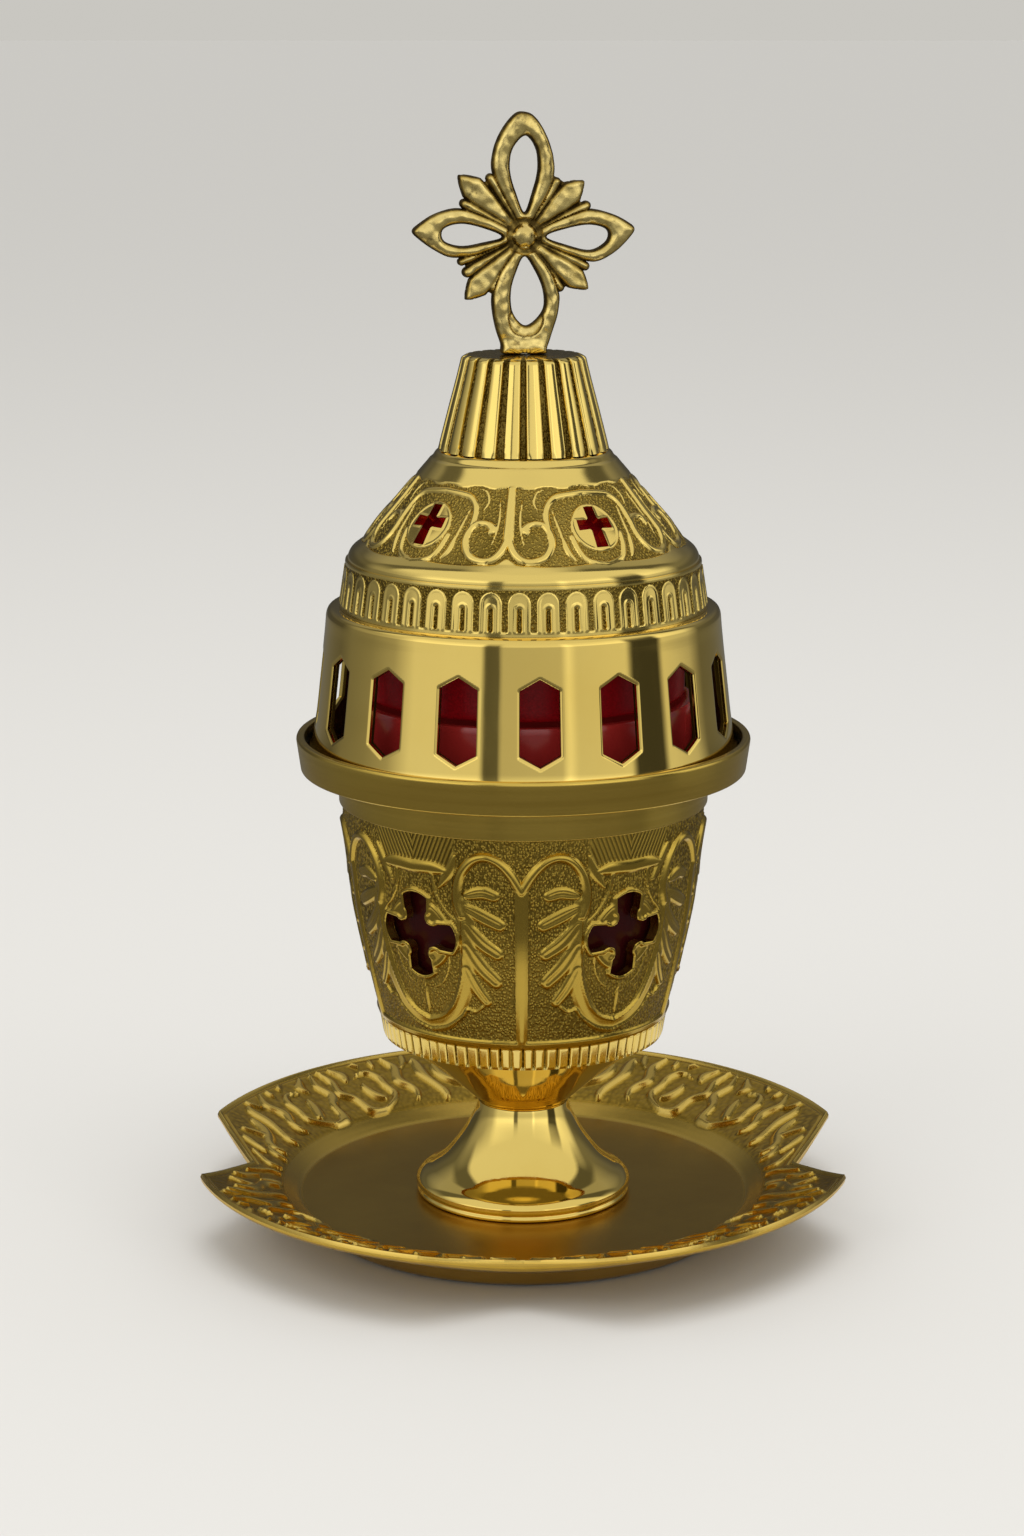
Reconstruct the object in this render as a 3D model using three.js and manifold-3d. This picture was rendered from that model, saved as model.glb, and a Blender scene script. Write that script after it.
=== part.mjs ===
// Table vigil lamp in the form of a covered ciborium: a pierced brass cup on a flared foot, standing
// loose in a notched drip plate, with a ruby oil glass inside and a lift-off pierced lid that carries
// its own ruby liner and a cast cross finial. Millimetres, +Z up, front towards -Y, origin at the
// centre of the plate's underside.
import * as THREE from "three";
import { mergeVertices } from "three/addons/utils/BufferGeometryUtils.js";
import Module from "manifold-3d";

const wasm = await Module();
wasm.setup();

// ---- driving dimensions -------------------------------------------------------------------------

const GAP = 0.05; // film of air between faces that rest on each other
const ROUND = 40; // segments of a large turned surface
const SMALL_ROUND = 16; // segments of a small turned surface

const plate = { radius: 68.2, height: 14, floor: 4.6, baseRadius: 44, wellRadius: 46, edge: 1.6 };
const notch = { count: 4, halfAngle: 16.7, apexRadius: 56.5 };

const foot = {
  radius: 22.2, lip: 2.5, neckRadius: 9.2, bottom: plate.floor + GAP, top: 24, wall: 1.8, cap: 3.4,
};
const stem = { bottom: foot.top + GAP, top: 39.1, bottomRadius: 9.1, topRadius: 26.6, wall: 2, floor: 3.2 };
const cup = {
  bottom: stem.top + GAP,
  bottomRadius: 27.2,
  bandTop: 43.9,
  bandRadius: 29.4,
  top: 87.8,
  topRadius: 37,
  wall: 1.8,
  floorTop: 42.3,
  ledge: 48.4,
  ledgeRadius: 24.5,
  tenonDepth: 0.9,
  tenonHeight: 3,
};
const rim = {
  bottom: cup.top + GAP,
  neckRadius: 37.3,
  boreRadius: 35,
  flangeBottom: 94.5,
  flangeRadius: 44.9,
  lipRadius: 45.8,
  top: 101.4,
  seat: 97.6,
  seatRadius: 44.1,
};
const cupCross = { count: 5, firstAngle: 35.5, height: 67.4, width: 17, tall: 17, waist: 4.3, end: 6.5 };

const glass = { bottom: cup.ledge + GAP, top: 109.4, rimRadius: 34.2, footRadius: 26.4, wall: 2.2, floor: 3 };
const cork = { radius: 17, hole: 2.6, thick: 5, bottom: glass.bottom + glass.floor + GAP };

const gallery = {
  bottom: rim.seat + GAP,
  footRadius: 43.5,
  footTop: 99.6,
  top: 127.6,
  topRadius: 39.4,
  wall: 1.5,
  boreRadius: 34.7,
  flangeThick: 1.7,
};
const lidWindow = { count: 16, firstAngle: 4.5, bottom: 103.5, top: 120.5, width: 7.9, shoulder: 2.1 };
const dome = {
  bottom: gallery.top + GAP,
  spigotBottom: 125.4,
  spigotRadius: 34.6,
  bandRadius: 36.7,
  bandTop: 136.4,
  bandTopRadius: 35.2,
  coneBottom: 140.6,
  coneBottomRadius: 32.3,
  coneTop: 154.6,
  coneTopRadius: 20.6,
  top: 158.9,
  topRadius: 16.9,
  wall: 1.7,
  ceiling: 156.6,
};
const domeCross = { count: 5, firstAngle: 30.1, width: 7.4, tall: 9.6, arm: 2.3, barHeight: 0.9 };
const cap = {
  bottom: dome.top + GAP,
  bottomRadius: 16.8,
  top: 177.5,
  topRadius: 12,
  flutes: 22,
  fluteDepth: 0.9,
  wall: 2.4,
  plate: 2.4,
};
const cross = { bottom: cap.top + GAP, centre: 200.6, top: 224.4, halfWidth: 21.9, thick: 4.4, turn: 9 };
// Block at the foot of the cross that the stud screws into.
const lug = { width: 8.6, depth: 5.6, height: 4.4 };

const liner = { bottom: 110.1, radius: 32.4, top: 155, wall: 1.8, hole: 2.5 };
const tieRod = { radius: 3, hole: 3.2, bottom: 13, top: 47.8 };
const stud = { radius: 2, hole: 2.2, bottom: 147.2, top: 180.8 };
const m6 = { acrossFlats: 10, height: 4.4, washerRadius: 6, washerThick: 1.2 };
const m4 = { acrossFlats: 7, height: 3.2, washerRadius: 6, washerThick: 0.8 };

// ---- finishes -----------------------------------------------------------------------------------

const finish = (color, roughness, metalness, extra = {}) =>
  new THREE.MeshStandardMaterial({ color, roughness, metalness, ...extra });
const castGold = finish(0xb8962e, 0.38, 1);
const polishedGold = finish(0xd9b64a, 0.12, 1);
const turnedGold = finish(0xa88a2c, 0.3, 1);
const plateBrass = finish(0x8a6b24, 0.34, 1);
const antiqueBrass = finish(0x9a7a3a, 0.42, 1);
const steel = finish(0x9a9a98, 0.35, 1);
const ruby = finish(0x6e0717, 0.15, 0, { transparent: true, opacity: 0.85 });
const corkBrown = finish(0xa87a4a, 0.9, 0);
const fibre = finish(0x4a3a2c, 0.85, 0);
const cotton = finish(0xe8e2d0, 0.95, 0);

// ---- geometry helpers ---------------------------------------------------------------------------

const radians = THREE.MathUtils.degToRad;

// A closed (radius, height) outline turned about Z. The outline runs up its outside and down its inside.
function turned(outline, segments = ROUND) {
  const points = outline.map(([r, z]) => new THREE.Vector2(r, z));
  if (outline[0][0] > 0) points.push(points[0].clone());
  return new THREE.LatheGeometry(points, segments).rotateX(Math.PI / 2);
}

function solidOf(geometry) {
  const plain = geometry.clone();
  plain.deleteAttribute("normal");
  plain.deleteAttribute("uv");
  const merged = mergeVertices(plain, 1e-4);
  return new wasm.Manifold(
    new wasm.Mesh({
      numProp: 3,
      vertProperties: new Float32Array(merged.attributes.position.array),
      triVerts: new Uint32Array(merged.index.array),
    }),
  );
}

function geometryOf(solid) {
  const mesh = solid.getMesh();
  const geometry = new THREE.BufferGeometry();
  geometry.setAttribute("position", new THREE.BufferAttribute(new Float32Array(mesh.vertProperties), 3));
  geometry.setIndex(new THREE.BufferAttribute(new Uint32Array(mesh.triVerts), 1));
  geometry.computeVertexNormals();
  return geometry;
}

const cut = (geometry, tools) =>
  geometryOf(tools.reduce((solid, tool) => solid.subtract(solidOf(tool)), solidOf(geometry)));
const join = (geometries) =>
  geometryOf(geometries.slice(1).reduce((solid, g) => solid.add(solidOf(g)), solidOf(geometries[0])));

// A shape drawn in (tangent, up), pushed outwards along the surface normal. Angle 0 faces the front, and
// tilt leans the normal up from level.
function radialPrism(shape, { angle, radius, height, tilt = 0, inward = 5, outward = 5 }) {
  const prism = new THREE.ExtrudeGeometry(shape, {
    depth: inward + outward,
    bevelEnabled: false,
    curveSegments: 3,
  });
  prism.translate(0, 0, -inward);
  prism.rotateX(Math.PI / 2 - radians(tilt));
  prism.translate(0, -radius, height);
  return prism.rotateZ(radians(angle));
}

const around = (count, firstAngle) => Array.from({ length: count }, (_, i) => firstAngle + (i * 360) / count);

function hexNut(nut, hole, bottom) {
  const shape = new THREE.Shape();
  const corner = nut.acrossFlats / Math.sqrt(3);
  for (let i = 0; i < 6; i++) {
    const a = radians(60 * i);
    shape[i ? "lineTo" : "moveTo"](corner * Math.cos(a), corner * Math.sin(a));
  }
  shape.closePath();
  shape.holes.push(new THREE.Path().absarc(0, 0, hole, 0, 2 * Math.PI, true));
  const options = { depth: nut.height, bevelEnabled: false, curveSegments: SMALL_ROUND / 2 };
  return new THREE.ExtrudeGeometry(shape, options).translate(0, 0, bottom);
}

const ring = (inner, outer, bottom, top) =>
  turned([[outer, bottom], [outer, top], [inner, top], [inner, bottom]], SMALL_ROUND);
const rod = (radius, bottom, top) =>
  turned([[0, bottom], [radius, bottom], [radius, top], [0, top]], SMALL_ROUND);

// ---- drip plate and stand -----------------------------------------------------------------------

function dripPlate() {
  const { radius, height, floor, baseRadius, wellRadius, edge } = plate;
  const under = [[baseRadius + 1.2, 1.4], [48, 4.2], [57, 8], [radius - 1, height - edge]];
  const over = [[58, 10.4], [51, 7.6], [wellRadius + 1.4, floor + 0.9]];
  const body = turned([
    [0, 0],
    [baseRadius, 0],
    ...under,
    [radius, height - edge / 2],
    [radius - 0.8, height],
    ...over,
    [wellRadius, floor],
    [0, floor],
  ]);
  const outside = radius + 6;
  const tip = radians(notch.halfAngle);
  const rise = radius * Math.cos(tip) - notch.apexRadius;
  const spread = (radius * Math.sin(tip) * (outside - notch.apexRadius)) / rise;
  const wedge = new THREE.Shape();
  wedge.moveTo(0, -notch.apexRadius);
  wedge.lineTo(-spread, -outside);
  wedge.lineTo(spread, -outside);
  wedge.closePath();
  const tool = new THREE.ExtrudeGeometry(wedge, { depth: height + 4, bevelEnabled: false });
  tool.translate(0, 0, -2);
  return cut(body, around(notch.count, 0).map((angle) => tool.clone().rotateZ(radians(angle))));
}

// A flared cone on a narrow lip, hollow below, with a solid ceiling that the tie rod passes through.
function lampFoot() {
  const { radius, lip, neckRadius, bottom, top, wall, cap: capThick } = foot;
  const flare = [[radius - 0.9, 8.1], [16.8, 12.6], [12.4, 17.6], [10, 21.4]];
  const inside = flare.slice(0, 3).map(([r, z]) => [r - wall, z - 0.5]).reverse();
  return turned(
    [
      [radius, bottom],
      [radius, bottom + lip],
      ...flare,
      [neckRadius, top],
      [tieRod.hole, top],
      [tieRod.hole, top - capThick],
      [neckRadius - wall, top - capThick],
      ...inside,
      [radius - wall, bottom],
    ],
    32,
  );
}

function stemBowl() {
  const { bottom, top, bottomRadius, topRadius, wall, floor } = stem;
  return turned(
    [
      [bottomRadius, bottom],
      [10.4, 25.2],
      [14.8, 29.4],
      [22, 35.4],
      [topRadius, top],
      [topRadius - wall - 0.8, top],
      [20, 36.2],
      [13, 30.4],
      [9.4, bottom + floor],
      [tieRod.hole, bottom + floor],
      [tieRod.hole, bottom],
    ],
    32,
  );
}

// The pierced body: a band of gadroons at its foot, a swelling wall with a cross in each panel, an inner
// ledge for the glass and a tenon that locates the rim ring.
function piercedCup() {
  const wallLine = [[31.5, 51.5], [33.2, 59], [34.9, 68], [36.2, 79]];
  const inside = wallLine.map(([r, z]) => [r - cup.wall, z]).reverse();
  const tenonRadius = cup.topRadius - cup.tenonDepth;
  const tenonTop = cup.top + cup.tenonHeight;
  const body = turned([
    [cup.bottomRadius, cup.bottom],
    [cup.bandRadius, cup.bandTop],
    ...wallLine,
    [cup.topRadius, cup.top],
    [tenonRadius, cup.top],
    [tenonRadius, tenonTop],
    [cup.topRadius - cup.wall, tenonTop],
    ...inside.slice(0, 3),
    [28.9, cup.ledge],
    [cup.ledgeRadius, cup.ledge],
    [cup.ledgeRadius, cup.floorTop],
    [tieRod.hole, cup.floorTop],
    [tieRod.hole, cup.bottom],
  ]);
  const place = { radius: 34.8, height: cupCross.height, outward: 4, inward: 7 };
  const tools = around(cupCross.count, cupCross.firstAngle).map((angle) =>
    radialPrism(flaredCross(cupCross), { ...place, angle }),
  );
  return cut(body, tools);
}

// A Greek cross whose arms widen towards rounded ends.
function flaredCross({ width, tall, waist, end }) {
  const shape = new THREE.Shape();
  const [w, e] = [waist / 2, end / 2];
  const arms = [width / 2, tall / 2, width / 2, tall / 2];
  arms.forEach((reach, i) => {
    const turn = (x, y) => {
      const a = (i * Math.PI) / 2;
      return [x * Math.cos(a) - y * Math.sin(a), x * Math.sin(a) + y * Math.cos(a)];
    };
    const start = turn(w + 0.4, -w);
    shape[i ? "lineTo" : "moveTo"](...start);
    shape.quadraticCurveTo(...turn(reach * 0.6, -w), ...turn(reach - 1, -e));
    shape.quadraticCurveTo(...turn(reach + 0.4, 0), ...turn(reach - 1, e));
    shape.quadraticCurveTo(...turn(reach * 0.6, w), ...turn(w + 0.4, w));
  });
  shape.closePath();
  return shape;
}

function rimRing() {
  const { bottom, neckRadius, boreRadius, flangeBottom, flangeRadius, lipRadius } = rim;
  const { top, seat, seatRadius } = rim;
  const rebate = cup.topRadius - cup.tenonDepth + 0.1;
  const rebateTop = cup.top + cup.tenonHeight + 0.1;
  return turned([
    [neckRadius, bottom],
    [neckRadius, flangeBottom],
    [flangeRadius, flangeBottom],
    [lipRadius, top - 0.5],
    [lipRadius - 0.6, top],
    [seatRadius, top],
    [seatRadius, seat],
    [boreRadius, seat],
    [boreRadius, rebateTop],
    [rebate, rebateTop],
    [rebate, bottom],
  ]);
}

// ---- oil glass and wick float -------------------------------------------------------------------

function oilGlass() {
  const { bottom, top, rimRadius, footRadius, wall, floor } = glass;
  return turned(
    [
      [0, bottom],
      [footRadius, bottom],
      [28.4, 52],
      [31.4, 65],
      [33, 80],
      [rimRadius, top - 0.8],
      [rimRadius - wall / 2, top],
      [rimRadius - wall, top - 0.8],
      [33 - wall, 80],
      [31.4 - wall, 65],
      [26.4, 55],
      [24.4, bottom + floor],
      [0, bottom + floor],
    ],
    32,
  );
}

const floatTop = cork.bottom + cork.thick;
const floatCork = () => ring(cork.hole, cork.radius, cork.bottom, floatTop);
const floatPlate = () => ring(2.25, cork.radius - 4, floatTop + GAP, floatTop + 0.65);
const wickTube = () =>
  turned(
    [
      [2.2, cork.bottom + 1],
      [2.2, floatTop + 0.7],
      [3.6, floatTop + 0.7],
      [3.6, floatTop + 1.3],
      [2.2, floatTop + 1.3],
      [1.9, floatTop + 6],
      [1.35, floatTop + 6],
      [1.35, cork.bottom + 1],
    ],
    SMALL_ROUND,
  );
const wick = () => rod(1.2, cork.bottom + 0.3, floatTop + 9);

// ---- lid ----------------------------------------------------------------------------------------

function lidGallery() {
  const { bottom, footRadius, footTop, top, topRadius, wall, boreRadius, flangeThick } = gallery;
  const outside = [[42.5, footTop + 0.9], [41.1, 111.5], [40, 121.5]];
  const inside = outside.map(([r, z]) => [r - wall, z]).reverse();
  const body = turned(
    [
      [footRadius, bottom],
      [footRadius, footTop],
      ...outside,
      [topRadius, top - 1],
      [topRadius - 0.9, top],
      [boreRadius, top],
      [boreRadius, top - flangeThick],
      [topRadius - wall, top - flangeThick - 0.8],
      ...inside,
      [footRadius - wall - 0.6, bottom],
    ],
    48,
  );
  const { count, firstAngle, bottom: low, top: high, width, shoulder } = lidWindow;
  const half = (high - low) / 2;
  const corners = [
    [0, -half],
    [width / 2, -half + shoulder],
    [width / 2, half - shoulder],
    [0, half],
    [-width / 2, half - shoulder],
    [-width / 2, -half + shoulder],
  ];
  const hexagon = new THREE.Shape(corners.map(([x, y]) => new THREE.Vector2(x, y)));
  const place = { radius: 40.9, height: (low + high) / 2, inward: 4, outward: 4 };
  return cut(body, around(count, firstAngle).map((angle) => radialPrism(hexagon, { ...place, angle })));
}

// The domed roof: an arcade band on a spigot, a bead, a cone with a cross in each panel and a collar.
function lidDome() {
  const { spigotBottom, spigotRadius, bandRadius, bandTop, bandTopRadius, wall } = dome;
  const slope = (dome.coneBottomRadius - dome.coneTopRadius) / (dome.coneTop - dome.coneBottom);
  const inset = wall * Math.sqrt(1 + 1 / slope ** 2) * slope;
  const body = turned([
    [spigotRadius, spigotBottom],
    [spigotRadius, dome.bottom],
    [bandRadius, dome.bottom],
    [bandTopRadius, bandTop],
    [34.8, 138],
    [dome.coneBottomRadius, dome.coneBottom],
    [dome.coneTopRadius, dome.coneTop],
    [dome.topRadius, dome.top],
    [stud.hole, dome.top],
    [stud.hole, dome.ceiling],
    [dome.topRadius - 0.6, dome.ceiling],
    [dome.coneTopRadius - inset, dome.coneTop],
    [dome.coneBottomRadius - inset, dome.coneBottom],
    [spigotRadius - 1.5, 134.6],
    [spigotRadius - 1.5, spigotBottom],
  ]);
  const place = {
    radius: (dome.coneBottomRadius + dome.coneTopRadius) / 2,
    height: (dome.coneBottom + dome.coneTop) / 2,
    tilt: THREE.MathUtils.radToDeg(Math.atan(slope)),
    inward: 3.5,
    outward: 3,
  };
  const tools = around(domeCross.count, domeCross.firstAngle).map((angle) =>
    radialPrism(latinCross(domeCross), { ...place, angle }),
  );
  return cut(body, tools);
}

function latinCross({ width, tall, arm, barHeight }) {
  const [x, y, a] = [width / 2, tall / 2, arm / 2];
  const outline = [
    [-a, -y], [a, -y], [a, barHeight - a], [x, barHeight - a], [x, barHeight + a], [a, barHeight + a],
    [a, y], [-a, y], [-a, barHeight + a], [-x, barHeight + a], [-x, barHeight - a], [-a, barHeight - a],
  ];
  return new THREE.Shape(outline.map(([px, py]) => new THREE.Vector2(px, py)));
}

// A hollow cone whose outside is a ring of convex flutes, narrowing to a flat top.
function finialCap() {
  const { bottom, top, bottomRadius, topRadius, flutes, fluteDepth, wall, plate: plateThick } = cap;
  const steps = flutes * 5;
  const positions = [];
  const index = [];
  const outline = (radius, z, depth) => {
    for (let i = 0; i < steps; i++) {
      const angle = (i / steps) * 2 * Math.PI;
      const r = radius - depth * (1 - Math.abs(Math.sin((angle * flutes) / 2)));
      positions.push(r * Math.sin(angle), -r * Math.cos(angle), z);
    }
  };
  outline(bottomRadius, bottom, fluteDepth);
  outline(topRadius, top, fluteDepth * 0.7);
  for (let i = 0; i < steps; i++) {
    const j = (i + 1) % steps;
    index.push(i, j, steps + j, i, steps + j, steps + i);
  }
  const low = 2 * steps;
  positions.push(0, 0, bottom, 0, 0, top);
  for (let i = 0; i < steps; i++) {
    const j = (i + 1) % steps;
    index.push(low, j, i, low + 1, steps + i, steps + j);
  }
  const outside = new THREE.BufferGeometry();
  outside.setAttribute("position", new THREE.Float32BufferAttribute(positions, 3));
  outside.setIndex(index);
  const hollow = turned(
    [
      [0, bottom - 1],
      [bottomRadius - wall, bottom - 1],
      [topRadius - wall, top - plateThick],
      [0, top - plateThick],
    ],
    SMALL_ROUND,
  );
  return cut(outside, [hollow, rod(stud.hole, top - plateThick - 1, top + 1)]);
}

// ---- cross finial -------------------------------------------------------------------------------

const extrudeFlat = (shape, thick) => {
  const options = { depth: thick, bevelEnabled: false, curveSegments: 4 };
  const slab = new THREE.ExtrudeGeometry(shape, options);
  return slab.translate(0, 0, -thick / 2).rotateX(Math.PI / 2);
};

// A petal drawn along +Y from the centre of the cross: a pointed oval with a teardrop opening.
function petal({ reach, halfWidth, broadAt, flatTip, opening }) {
  const shape = new THREE.Shape();
  shape.moveTo(-2.2, 1);
  shape.quadraticCurveTo(-halfWidth, broadAt * 0.55, -halfWidth, broadAt);
  shape.quadraticCurveTo(-halfWidth * 0.9, reach * 0.86, -flatTip, reach);
  shape.lineTo(flatTip, reach);
  shape.quadraticCurveTo(halfWidth * 0.9, reach * 0.86, halfWidth, broadAt);
  shape.quadraticCurveTo(halfWidth, broadAt * 0.55, 2.2, 1);
  shape.closePath();
  const hole = new THREE.Path();
  hole.moveTo(0, opening.start);
  hole.quadraticCurveTo(opening.halfWidth, broadAt * 0.7, opening.halfWidth, broadAt);
  hole.quadraticCurveTo(opening.halfWidth * 0.9, opening.end, 0, opening.end);
  hole.quadraticCurveTo(-opening.halfWidth * 0.9, opening.end, -opening.halfWidth, broadAt);
  hole.quadraticCurveTo(-opening.halfWidth, broadAt * 0.7, 0, opening.start);
  shape.holes.push(hole);
  return shape;
}

function leaf({ reach, halfWidth }) {
  const shape = new THREE.Shape();
  shape.moveTo(-0.7, 2);
  shape.lineTo(-halfWidth, reach * 0.78);
  shape.lineTo(0, reach);
  shape.lineTo(halfWidth, reach * 0.78);
  shape.lineTo(0.7, 2);
  shape.closePath();
  return shape;
}

function finialCross() {
  const { bottom, centre, top, halfWidth, thick, turn } = cross;
  const upper = { reach: top - centre, halfWidth: 6, broadAt: 13.4, flatTip: 0.4 };
  const lower = { reach: centre - bottom, halfWidth: 6.4, broadAt: 12.6, flatTip: 4.4 };
  const side = { reach: halfWidth, halfWidth: 4.9, broadAt: 13, flatTip: 0.3 };
  const petals = [
    [0, { ...upper, opening: { start: 4.4, end: 18.8, halfWidth: 2.9 } }],
    [90, { ...side, opening: { start: 4.4, end: 16.6, halfWidth: 2.2 } }],
    [180, { ...lower, opening: { start: 4, end: 17.6, halfWidth: 3.2 } }],
    [270, { ...side, opening: { start: 4.4, end: 16.6, halfWidth: 2.2 } }],
  ];
  const leaves = [];
  for (const diagonal of [45, 135, 225, 315]) {
    leaves.push([diagonal, { reach: 17, halfWidth: 1.9 }]);
    leaves.push([diagonal - 17, { reach: 13.4, halfWidth: 1.2 }]);
    leaves.push([diagonal + 17, { reach: 13.4, halfWidth: 1.2 }]);
  }
  const turnTo = (geometry, degrees) => geometry.rotateY(radians(degrees));
  const boss = turned([[0, -3], [2.4, -2.6], [2.9, 0], [2.4, 2.6], [0, 3]], 16).rotateX(Math.PI / 2);
  const block = new THREE.BoxGeometry(lug.width, lug.depth, lug.height);
  block.translate(0, 0, lug.height / 2 + bottom - centre);
  const pieces = [
    boss,
    ...petals.map(([degrees, form]) => turnTo(extrudeFlat(petal(form), thick), degrees)),
    ...leaves.map(([degrees, form]) => turnTo(extrudeFlat(leaf(form), thick * 0.62), degrees)),
    block,
  ];
  const socket = rod(stud.radius + 0.05, bottom - centre - 1, stud.top - centre + 0.1);
  return cut(join(pieces), [socket]).rotateZ(radians(turn)).translate(0, 0, centre);
}

// ---- liner and its fastenings -------------------------------------------------------------------

// A bell of glass hung in the lid by its own flat crown, so that every opening above the oil glass shows red.
function linerGlass() {
  const { bottom, radius, top, wall, hole } = liner;
  return turned(
    [
      [radius, bottom],
      [radius - 0.2, 134],
      [30.2, 138.6],
      [17.9, 151.6],
      [13.4, top],
      [hole, top],
      [hole, top - wall],
      [12.8, top - wall],
      [27.8, 137.8],
      [radius - wall, 133.4],
      [radius - wall, bottom],
    ],
    32,
  );
}

// ---- assembly -----------------------------------------------------------------------------------

const group = new THREE.Group();

function add(name, geometry, material) {
  const mesh = new THREE.Mesh(geometry, material);
  mesh.name = name;
  group.add(mesh);
}

add("drip_plate", dripPlate(), plateBrass);

add("lamp_foot", lampFoot(), polishedGold);
add("stem_bowl", stemBowl(), polishedGold);
add("pierced_cup", piercedCup(), castGold);
add("rim_ring", rimRing(), turnedGold);
add("tie_rod", rod(tieRod.radius, tieRod.bottom, tieRod.top), steel);
const footCeiling = foot.top - foot.cap;
const footWasherTop = footCeiling - GAP;
const footNutTop = footWasherTop - m6.washerThick - GAP;
add("foot_washer", ring(tieRod.hole, m6.washerRadius, footWasherTop - m6.washerThick, footWasherTop), steel);
add("foot_nut", hexNut(m6, tieRod.radius + GAP, footNutTop - m6.height), steel);
const cupWasherTop = cup.floorTop + GAP + m6.washerThick;
add("cup_washer", ring(tieRod.hole, m6.washerRadius, cup.floorTop + GAP, cupWasherTop), steel);
add("cup_nut", hexNut(m6, tieRod.radius + GAP, cupWasherTop + GAP), steel);

add("oil_glass", oilGlass(), ruby);
add("float_cork", floatCork(), corkBrown);
add("float_plate", floatPlate(), polishedGold);
add("wick_tube", wickTube(), polishedGold);
add("wick", wick(), cotton);

add("lid_gallery", lidGallery(), polishedGold);
add("lid_dome", lidDome(), castGold);
add("finial_cap", finialCap(), polishedGold);
add("finial_cross", finialCross(), antiqueBrass);
add("finial_stud", rod(stud.radius, stud.bottom, stud.top), steel);
add("liner_glass", linerGlass(), ruby);
add("upper_gasket", ring(stud.hole, 9, liner.top + GAP, dome.ceiling - GAP), fibre);
const linerCeiling = liner.top - liner.wall;
const gasketBottom = linerCeiling - GAP - 1;
const washerBottom = gasketBottom - GAP - m4.washerThick;
add("lower_gasket", ring(stud.hole, 8, gasketBottom, linerCeiling - GAP), fibre);
add("finial_washer", ring(stud.hole, m4.washerRadius, washerBottom, gasketBottom - GAP), steel);
add("finial_nut", hexNut(m4, stud.radius + GAP, washerBottom - GAP - m4.height), steel);

export default group;
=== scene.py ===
"""Visual model of a ciborium-shaped vigil lamp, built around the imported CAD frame.

Cast ornament is made as real geometry. A surface of revolution is sampled on a fine grid of angle and
height, a height field built from strokes and closed outlines lifts it, and pierced openings are cut along
their exact outline. Lengths are millimetres until a mesh is made.
"""

import math

import bpy
import numpy as np
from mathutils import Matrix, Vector


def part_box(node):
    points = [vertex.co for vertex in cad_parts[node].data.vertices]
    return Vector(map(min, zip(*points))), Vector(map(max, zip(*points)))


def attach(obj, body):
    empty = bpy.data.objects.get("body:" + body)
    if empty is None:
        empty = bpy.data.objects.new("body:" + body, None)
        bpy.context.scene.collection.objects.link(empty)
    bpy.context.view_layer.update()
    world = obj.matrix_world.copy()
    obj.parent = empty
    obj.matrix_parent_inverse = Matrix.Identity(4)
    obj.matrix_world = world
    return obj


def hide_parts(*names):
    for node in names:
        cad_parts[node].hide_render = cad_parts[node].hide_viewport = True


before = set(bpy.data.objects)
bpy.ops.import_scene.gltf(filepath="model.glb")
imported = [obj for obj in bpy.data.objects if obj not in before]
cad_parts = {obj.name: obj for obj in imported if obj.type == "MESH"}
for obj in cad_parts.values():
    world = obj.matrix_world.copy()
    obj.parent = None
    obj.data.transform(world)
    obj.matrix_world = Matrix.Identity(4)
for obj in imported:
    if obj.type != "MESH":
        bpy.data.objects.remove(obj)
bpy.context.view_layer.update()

MM = 0.001
rng = np.random.default_rng(11)


# ---- numbers from the frame -----------------------------------------------------------------------


class Extent:
    """A CAD node's bottom and top, its widths and its largest radius from the lamp's axis, in millimetres."""

    def __init__(self, node):
        low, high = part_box(node)
        self.bottom, self.top = low.z / MM, high.z / MM
        self.wide, self.deep = (high.x - low.x) / MM, (high.y - low.y) / MM
        self.radius = max(high.x, high.y) / MM


PLATE = Extent("drip_plate")
FOOT = Extent("lamp_foot")
STEM = Extent("stem_bowl")
CUP = Extent("pierced_cup")
RIM = Extent("rim_ring")
GLASS = Extent("oil_glass")
GALLERY = Extent("lid_gallery")
DOME = Extent("lid_dome")
CAP = Extent("finial_cap")
CROSS = Extent("finial_cross")
LINER = Extent("liner_glass")
CORK = Extent("float_cork")
FLOAT_DISC = Extent("float_plate")
WICK_TUBE = Extent("wick_tube")
WICK = Extent("wick")


# ---- curves ---------------------------------------------------------------------------------------


def spline(points, pieces=6, closed=False):
    """A Catmull-Rom curve through the points, sampled with this many pieces in each span."""
    p = np.array(points, float)
    before = p[-1:] if closed else 2 * p[:1] - p[1:2]
    after = p[:2] if closed else 2 * p[-1:] - p[-2:-1]
    q = np.vstack([before, p, after])
    spans = len(p) if closed else len(p) - 1
    t = np.linspace(0, 1, pieces, endpoint=False)[:, None]
    out = []
    for i in range(spans):
        a, b, c, d = q[i], q[i + 1], q[i + 2], q[i + 3]
        bend = (2 * a - 5 * b + 4 * c - d) * t**2 + (3 * b - a - 3 * c + d) * t**3
        out.append(0.5 * (2 * b + (c - a) * t + bend))
    if not closed:
        out.append(p[-1:])
    return np.vstack(out)


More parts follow.
